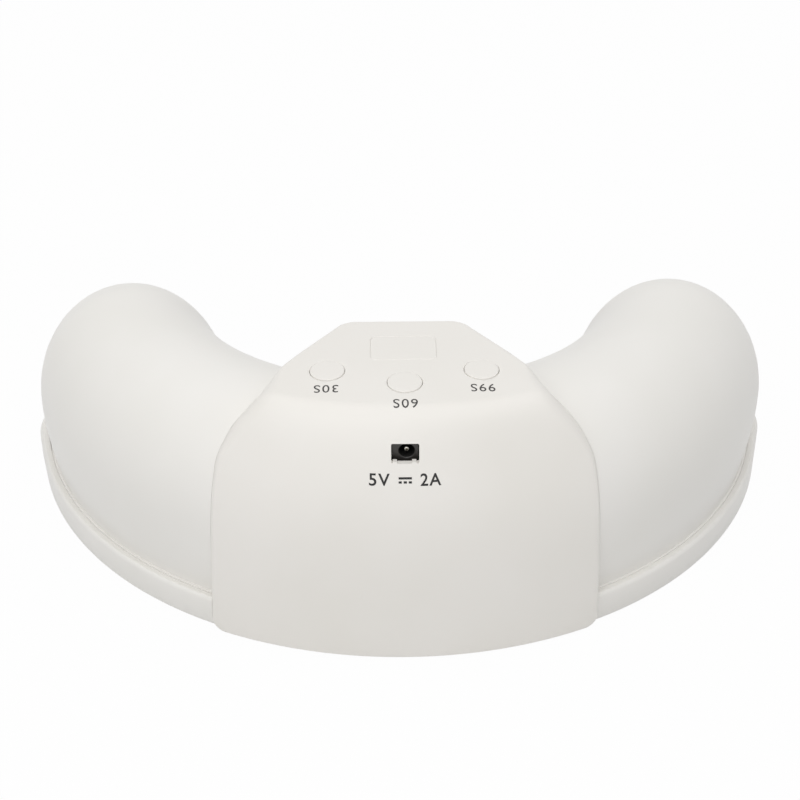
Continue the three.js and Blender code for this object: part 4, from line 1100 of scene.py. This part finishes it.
FAR, LOW, HIGH = 280, -10, 100
ROOF_TOP, ROOF_UNDER, BEAD_FOOT = 60, 58.8, 60.3
LINER_OUT, LINER_IN, CENTRE_ARC, BOARD_OUTER = 5, 6.2, 26, 121


def sector(half_arc):
    angles = np.radians(np.linspace(-half_arc, half_arc, 24))
    return extruded("sector", np.concatenate([[[0, 0]], place_at(angles, FAR)]), LOW, HIGH)


def over(height):
    return block(-FAR, FAR, -FAR, FAR, height, HIGH)


SENSORS = [place_at(np.array([side * math.radians(40)]), SPINE)[0] for side in SIDES]
slit = math.degrees(GAP / SPINE)
for part in BOARDS:
    liner = carve(arm_form("liner", LINER_OUT, CANOPY_FOOT), over(ROOF_TOP))
    carve(liner, carve(arm_form("hollow", LINER_IN, 3), over(ROOF_UNDER)))
    carve(liner, mouth_cut(-OVERRUN, 0, 98))
    carve(liner, posts(TRAY_SCREWS, 0, PILLAR_TOP + GAP, BOSS_RADIUS + GAP))
    carve(liner, posts(np.concatenate(list(BEADS.values())), 57, 66, 2.8))
    carve(liner, posts(SENSORS, 57, 66, 2.9))
    if part == "centre":
        carve(liner, sector(CENTRE_ARC), "INTERSECT")
    else:
        x0, x1 = (-FAR, 0) if part == "right" else (0, FAR)
        carve(liner, block(x0, x1, -FAR, FAR, LOW, HIGH))
        carve(liner, sector(CENTRE_ARC + slit))
    liner.name = "reflector_liner_" + part
    dress(liner, film)
    finish_piece(smooth(liner), "reflector_aluminium", "reflector_" + part)

# %% Lamp boards with beads
for part, (first, last, _, inner) in BOARDS.items():
    angles = np.radians(np.linspace(first, last, 49))
    outline = np.concatenate([place_at(angles, BOARD_OUTER), place_at(angles[::-1], inner)])
    board = extruded("lamp_board", outline, BEAD_FOOT, BEAD_FOOT + BOARD_THICK, white_mask)
    beads = grown("lamp_beads", bead_tree, [(x, y, BEAD_FOOT) for x, y in BEADS[part]], {})
    finish_piece(as_one("lamp_board_plate_" + part, [board, beads]), "board_white", "lamp_board_" + part)

# %% [markdown]
# ## Switches and the display
# Under each cap a plunger reaches down to a small tact switch: a black box under a bright tin plate,
# with four riveted corners and four bent legs. The display is a black block with two sloped digits of
# seven bars. Legs and pins come in rows, so one node tree draws a bent leg and repeats it at a pitch.

# %% Rows of legs and pins
leg_tree, sizes, calc = new_tree("row_of_legs", {
    "Count": 4, "Pitch": 1.27 * MM, "Width": 0.4 * MM, "Thickness": 0.15 * MM, "Reach": 1.0 * MM,
    "Drop": 0.65 * MM, "Turn": 0.0})
half_pitch = calc("MULTIPLY", sizes["Pitch"], -0.5)
first_leg = xyz(leg_tree, Y=calc("MULTIPLY", calc("SUBTRACT", sizes["Count"], 1.0), half_pitch))
row = shape(leg_tree, "GeometryNodeMeshLine", {
    "Count": sizes["Count"], "Start Location": first_leg, "Offset": xyz(leg_tree, Y=sizes["Pitch"])},
    {"mode": "OFFSET"})
sunk = calc("MULTIPLY", sizes["Drop"], -1.0)
bend = shape(leg_tree, "GeometryNodeCurvePrimitiveBezierSegment", {
    "Resolution": 10, "Start": (0, 0, 0),
    "Start Handle": xyz(leg_tree, X=calc("MULTIPLY", sizes["Reach"], 0.9)),
    "End Handle": xyz(leg_tree, X=calc("MULTIPLY", sizes["Reach"], 0.1), Z=sunk),
    "End": xyz(leg_tree, X=sizes["Reach"], Z=sunk)}, {"mode": "POSITION"})
strip = shape(leg_tree, "GeometryNodeCurvePrimitiveQuadrilateral", {
    "Width": sizes["Thickness"], "Height": sizes["Width"]}, {"mode": "RECTANGLE"})
leg = shape(leg_tree, "GeometryNodeCurveToMesh", {"Curve": bend, "Profile Curve": strip, "Fill Caps": True})
legs = shape(leg_tree, "GeometryNodeInstanceOnPoints", {"Points": row, "Instance": leg})
turned = shape(leg_tree, "GeometryNodeTransform", {
    "Geometry": legs, "Rotation": xyz(leg_tree, Z=sizes["Turn"])})
finish_tree(leg_tree, sizes, turned, nickel)


def leg_row(name, place, turn, count, pitch, **other):
    lengths = {key.capitalize(): value * MM for key, value in dict(other, pitch=pitch).items()}
    return grown(name, leg_tree, [place], dict(lengths, Count=count, Turn=math.radians(turn)))


def brick(name, half_x, half_y, corner, x, y, profile, material):
    rings = []
    for inset, z in profile:
        flat = round_rectangle(half_x - inset, half_y - inset, max(corner - inset, 0.05), x, y)
        rings.append(at_height(flat, z))
    return smooth(loft(name, rings, material))


# %% Plungers and tact switches
for label, (x, y) in BUTTONS.items():
    stem = loft("plunger_" + label, disc_rings(x, y, [
        (1.3, 78.5), (1.5, 78.7), (1.5, 81.2), (1.6, 81.3), (1.6, 81.75), (1.45, 81.9)], 32), abs_black)
    finish_piece(smooth(stem), "black_plastic", "switch_stem_" + label, body="button_" + label)
    base = brick("switch", 3, 3, 0.3, x, y, [(0.1, 76.3), (0, 76.4), (0, 79.2), (0.1, 79.3)], abs_black)
    plate = brick("plate", 2.95, 2.95, 0.4, x, y, [(0, 79.32), (0, 79.5), (0.08, 79.56)], nickel)
    for part in (base, plate):
        carve(part, post(x, y, 77.3, 90, 1.9))
    parts = [base, smooth(plate)]
    for corner_x in SIDES:
        for corner_y in SIDES:
            rivet = disc_rings(x + 2.25 * corner_x, y + 2.25 * corner_y, [
                (0.42, 79.4), (0.42, 79.62), (0.33, 79.74), (0.15, 79.8)], 16)
            parts.append(smooth(loft("rivet", rivet, abs_black)))
    for side, turn in ((1, 0), (-1, 180)):
        place = (x + side * 2.9, y, 77.0)
        parts.append(leg_row("legs", place, turn, 2, 4.5, width=0.7, thickness=0.2, reach=0.9, drop=0.6))
    finish_piece(as_one("tact_switch_" + label, parts), "black_plastic", "switch_body_" + label)

# %% Display module with its digits
MODULE_FACE, DIGIT_LEAN = 82.3, 0.14


def segment(x, y, long, upright_bar, thick=1.15):
    half, tip = long / 2 - 0.12, thick / 2
    flat = [(-half, 0), (-half + tip, tip), (half - tip, tip), (half, 0), (half - tip, -tip),
            (-half + tip, -tip)]
    points = np.array([(v, u) if upright_bar else (u, v) for u, v in flat]) + (x, y)
    points[:, 0] += DIGIT_LEAN * points[:, 1]
    return points


def digit_bars(centre_x):
    bar, rise = 5.0, 4.6
    for x, y, long, upright_bar in (
            (0, rise, bar, False), (0, 0, bar, False), (0, -rise, bar, False),
            (-bar / 2, rise / 2, rise, True), (bar / 2, rise / 2, rise, True),
            (-bar / 2, -rise / 2, rise, True), (bar / 2, -rise / 2, rise, True)):
        flat = segment(x, y, long, upright_bar) * [-1, -1] + (centre_x, pane_y)
        yield extruded("bar", flat, MODULE_FACE - 0.4, MODULE_FACE + 0.1, digit_cream)


PIN_PITCH = 2.54
block_of_digits = brick("module", half_x - 0.1, 7.05, 0.4, pane_x, pane_y, [
    (0.15, 76.35), (0, 76.5), (0, MODULE_FACE - 0.15), (0.15, MODULE_FACE)], abs_black)
parts = [block_of_digits] + [bar for centre_x in (-5.2, 5.2) for bar in digit_bars(centre_x)]
for side in SIDES:
    place = (0, pane_y + side * 6.2, 76.5)
    parts.append(leg_row("pins", place, 90, 5, PIN_PITCH, width=0.5, thickness=0.5, reach=0.0, drop=1.7))
finish_piece(as_one("display_digits", parts), "black_plastic", "display_module")

# %% [markdown]
# ## Boards
# Both boards are 1.6 mm glass fibre under green solder mask, with bare holes for their screws. The upper
# one carries switches and display; a pin header joins it to the lower one, which carries the power
# socket, a small can capacitor and the driver chip.

# %% Display board and power board
upper = [(-31, -112), (31, -112), (31, -92), (14, -92), (14, -76.5), (-14, -76.5), (-14, -92), (-31, -92)]
lower = [(-16, -122), (16, -122), (16, -92), (-16, -92)]
for name, outline, foot, screws in (("display_board", upper, UPPER_BOARD_FOOT, BOARD_SCREWS[:2]),
                                    ("power_board", lower, LOWER_BOARD_FOOT, BOARD_SCREWS[2:])):
    board = extruded(name + "_plate", outline, foot, foot + BOARD_THICK, green_mask)
    rounding = board.modifiers.new("corners", "BEVEL")
    rounding.width = 0.12 * MM
    rounding.segments = 2
    rounding.limit_method = "ANGLE"
    for x, y, _ in screws:
        carve(board, post(x, y, foot - 2, foot + 4, HOLE_RADIUS))
    finish_piece(smooth(board), "board_green", name)

# %% Header, capacitor and driver chip
strips = [brick("strip", 6.35, 1.22, 0.3, 0, -95, [(0.1, low), (0, low + 0.1), (0, high - 0.1), (0.1, high)],
                abs_black) for low, high in ((67.3, 69.8), (71.6, 74.1))]
pins = leg_row("pins", (0, -95, 74.3), 90, 5, PIN_PITCH, width=0.64, thickness=0.64, reach=0.0, drop=7.2)
finish_piece(as_one("board_header_strip", strips + [pins]), "black_plastic", "board_header")

CAN_X, CAN_Y, STRIPE_HALF_TURN = 9.6, -104.0, 0.3
can = loft("can", disc_rings(CAN_X, CAN_Y, [
    (2.7, 67.3), (3.0, 67.42), (3.14, 67.8), (2.92, 68.5), (2.92, 68.7), (3.14, 69.3), (3.15, 73.4),
    (3.02, 73.85), (2.75, 74.0), (2.62, 73.9)], 48), sleeve_black)
can.data.materials.append(digit_cream)
for face in can.data.polygons:
    turn = math.atan2(face.center.x / MM - CAN_X, -(face.center.y / MM - CENTRE[1] - CAN_Y))
    if abs(turn) < STRIPE_HALF_TURN:
        face.material_index = 1 if face.normal.z < 0.5 else 0
top = loft("can_top", disc_rings(CAN_X, CAN_Y, [(2.6, 73.5), (2.6, 73.92), (2.5, 73.98)], 48), film)
for half_a, half_b in ((2.0, 0.12), (0.12, 2.0)):
    carve(top, block(CAN_X - half_a, CAN_X + half_a, CAN_Y - half_b, CAN_Y + half_b, 73.85, 74.5))
finish_piece(as_one("can_capacitor", [smooth(can), smooth(top)]), "black_plastic", "power_capacitor")

CHIP_X, CHIP_Y, LEG_Z = -9.6, -104.0, 68.05
chip = brick("chip", 2.0, 2.45, 0.1, CHIP_X, CHIP_Y, [(0.12, 67.4), (0, LEG_Z), (0.14, 68.78)], abs_black)
carve(chip, post(CHIP_X + 1.3, CHIP_Y + 1.7, 68.7, 70, 0.28, 20))
parts = [chip] + [
    leg_row("legs", (CHIP_X + side * 1.95, CHIP_Y, LEG_Z), turn, 4, 1.27, width=0.42, thickness=0.16,
            reach=1.0, drop=0.68) for side, turn in ((1, 0), (-1, 180))]
finish_piece(as_one("driver_chip_body", parts), "black_plastic", "driver_chip")

# %% [markdown]
# ## Hand sensors and leads
# A dark dome of infrared-pass epoxy looks down from each bay's roof and notices a hand. It has the
# shape of a large round diode: a collar, a straight wall and a dome. The two leads keep their CAD shape,
# which is a bent tube already, and get the red of PVC insulation.

# %% Hand sensors and leads
for side, place in zip(SIDES, SENSORS):
    name = "hand_sensor_" + ("left" if side < 0 else "right")
    dome = disc_rings(*place, [
        (2.5, 60.0), (2.6, 59.9), (2.6, 59.3), (2.5, 59.2), (2.2, 59.15), (2.2, 58.5)], 48)
    for turn in np.linspace(0, QUARTER, 9)[1:]:
        dome += disc_rings(*place, [(max(2.2 * math.cos(turn), 0.02), 58.5 - 1.48 * math.sin(turn))], 48)
    finish_piece(smooth(loft(name + "_dome", dome, dark_lens)), "sensor_dark", name)

for name in ("lamp_lead_left", "lamp_lead_right"):
    dress(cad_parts[name], lead_red)
    print(name, "keeps its CAD shape, in", lead_red.name)


# %% [markdown]
# ## Floor and light
# The lamp stands on white paper in a white room. A broad panel above and a smaller one behind the
# camera's left shoulder light it as a product photographer would. Floor and room look plain white to
# the camera and in mirrors, which needs no more light on the lamp, and the paper keeps its shadow.

# %% Floor, world and panels
def seen_directly(tree):
    ray = add_node(tree, "ShaderNodeLightPath")
    mirrored = add_node(tree, "ShaderNodeMath", {"operation": "MAXIMUM"}, {
        0: ray.outputs["Is Glossy Ray"], 1: ray.outputs["Is Transmission Ray"]})
    return ray.outputs["Is Camera Ray"], mirrored.outputs[0]


def stage_material():
    material, tree = new_material("studio_paper")
    camera_ray, mirrored = seen_directly(tree)
    glow = add_node(tree, "ShaderNodeMath", {"operation": "MULTIPLY"}, {0: camera_ray, 1: PAPER_GLOW})
    share = add_node(tree, "ShaderNodeMath", {"operation": "MAXIMUM"}, {0: glow.outputs[0], 1: mirrored})
    white = add_node(tree, "ShaderNodeEmission", inputs={"Color": (1, 1, 1, 1), "Strength": 1.0})
    paper = add_node(tree, "ShaderNodeBsdfDiffuse", inputs={"Color": linear("#dadada")})
    seen = add_node(tree, "ShaderNodeMixShader", inputs={0: share.outputs[0], 1: paper.outputs[0],
                                                         2: white.outputs[0]})
    close_material(tree, seen)
    return material


PAPER_GLOW, ROOM_LEVEL, ROOM_LEAN = 0.975, 0.47, (-0.015, -0.06, 0.24)
HALF_FLOOR, FLOOR_LEVEL = 900, -1
corners = [(x * HALF_FLOOR, y * HALF_FLOOR, FLOOR_LEVEL) for x, y in ((-1, -1), (1, -1), (1, 1), (-1, 1))]
floor = mesh_object("floor", corners, [(0, 1, 2, 3)], stage_material())

world = bpy.data.worlds.new("white_room")
bpy.context.scene.world = world
world.use_nodes = True
world.node_tree.nodes.clear()
camera_ray, mirrored = seen_directly(world.node_tree)
seen = add_node(world.node_tree, "ShaderNodeMath", {"operation": "MAXIMUM"}, {0: camera_ray, 1: mirrored})
leaning = add_node(world.node_tree, "ShaderNodeVectorMath", {"operation": "DOT_PRODUCT"}, {
    0: add_node(world.node_tree, "ShaderNodeTexCoord").outputs["Generated"], 1: ROOM_LEAN})
shade = add_node(world.node_tree, "ShaderNodeMath", {"operation": "ADD"}, {
    0: leaning.outputs["Value"], 1: ROOM_LEVEL})
level = add_node(world.node_tree, "ShaderNodeMapRange", inputs={
    "Value": seen.outputs[0], "To Min": shade.outputs[0], "To Max": 1.0})
room = add_node(world.node_tree, "ShaderNodeBackground", inputs={
    "Color": (1, 1, 1, 1), "Strength": level.outputs["Result"]})
add_node(world.node_tree, "ShaderNodeOutputWorld", inputs={"Surface": room.outputs[0]})


def soft_panel(name, place, target, size, watts):
    data = bpy.data.lights.new(name, "AREA")
    data.shape = "RECTANGLE"
    data.size, data.size_y = size
    data.energy = watts
    panel = add_object(name, data)
    panel.location = place
    panel.rotation_euler = (Vector(target) - Vector(place)).to_track_quat("-Z", "Y").to_euler()


soft_panel("top_panel", (0.0, -0.15, 1.1), (0.0, 0.0, 0.05), (1.2, 1.2), 3.45)
soft_panel("key_panel", (-0.28, -0.8, 0.68), (0.0, 0.0, 0.04), (0.8, 0.8), 2.4)
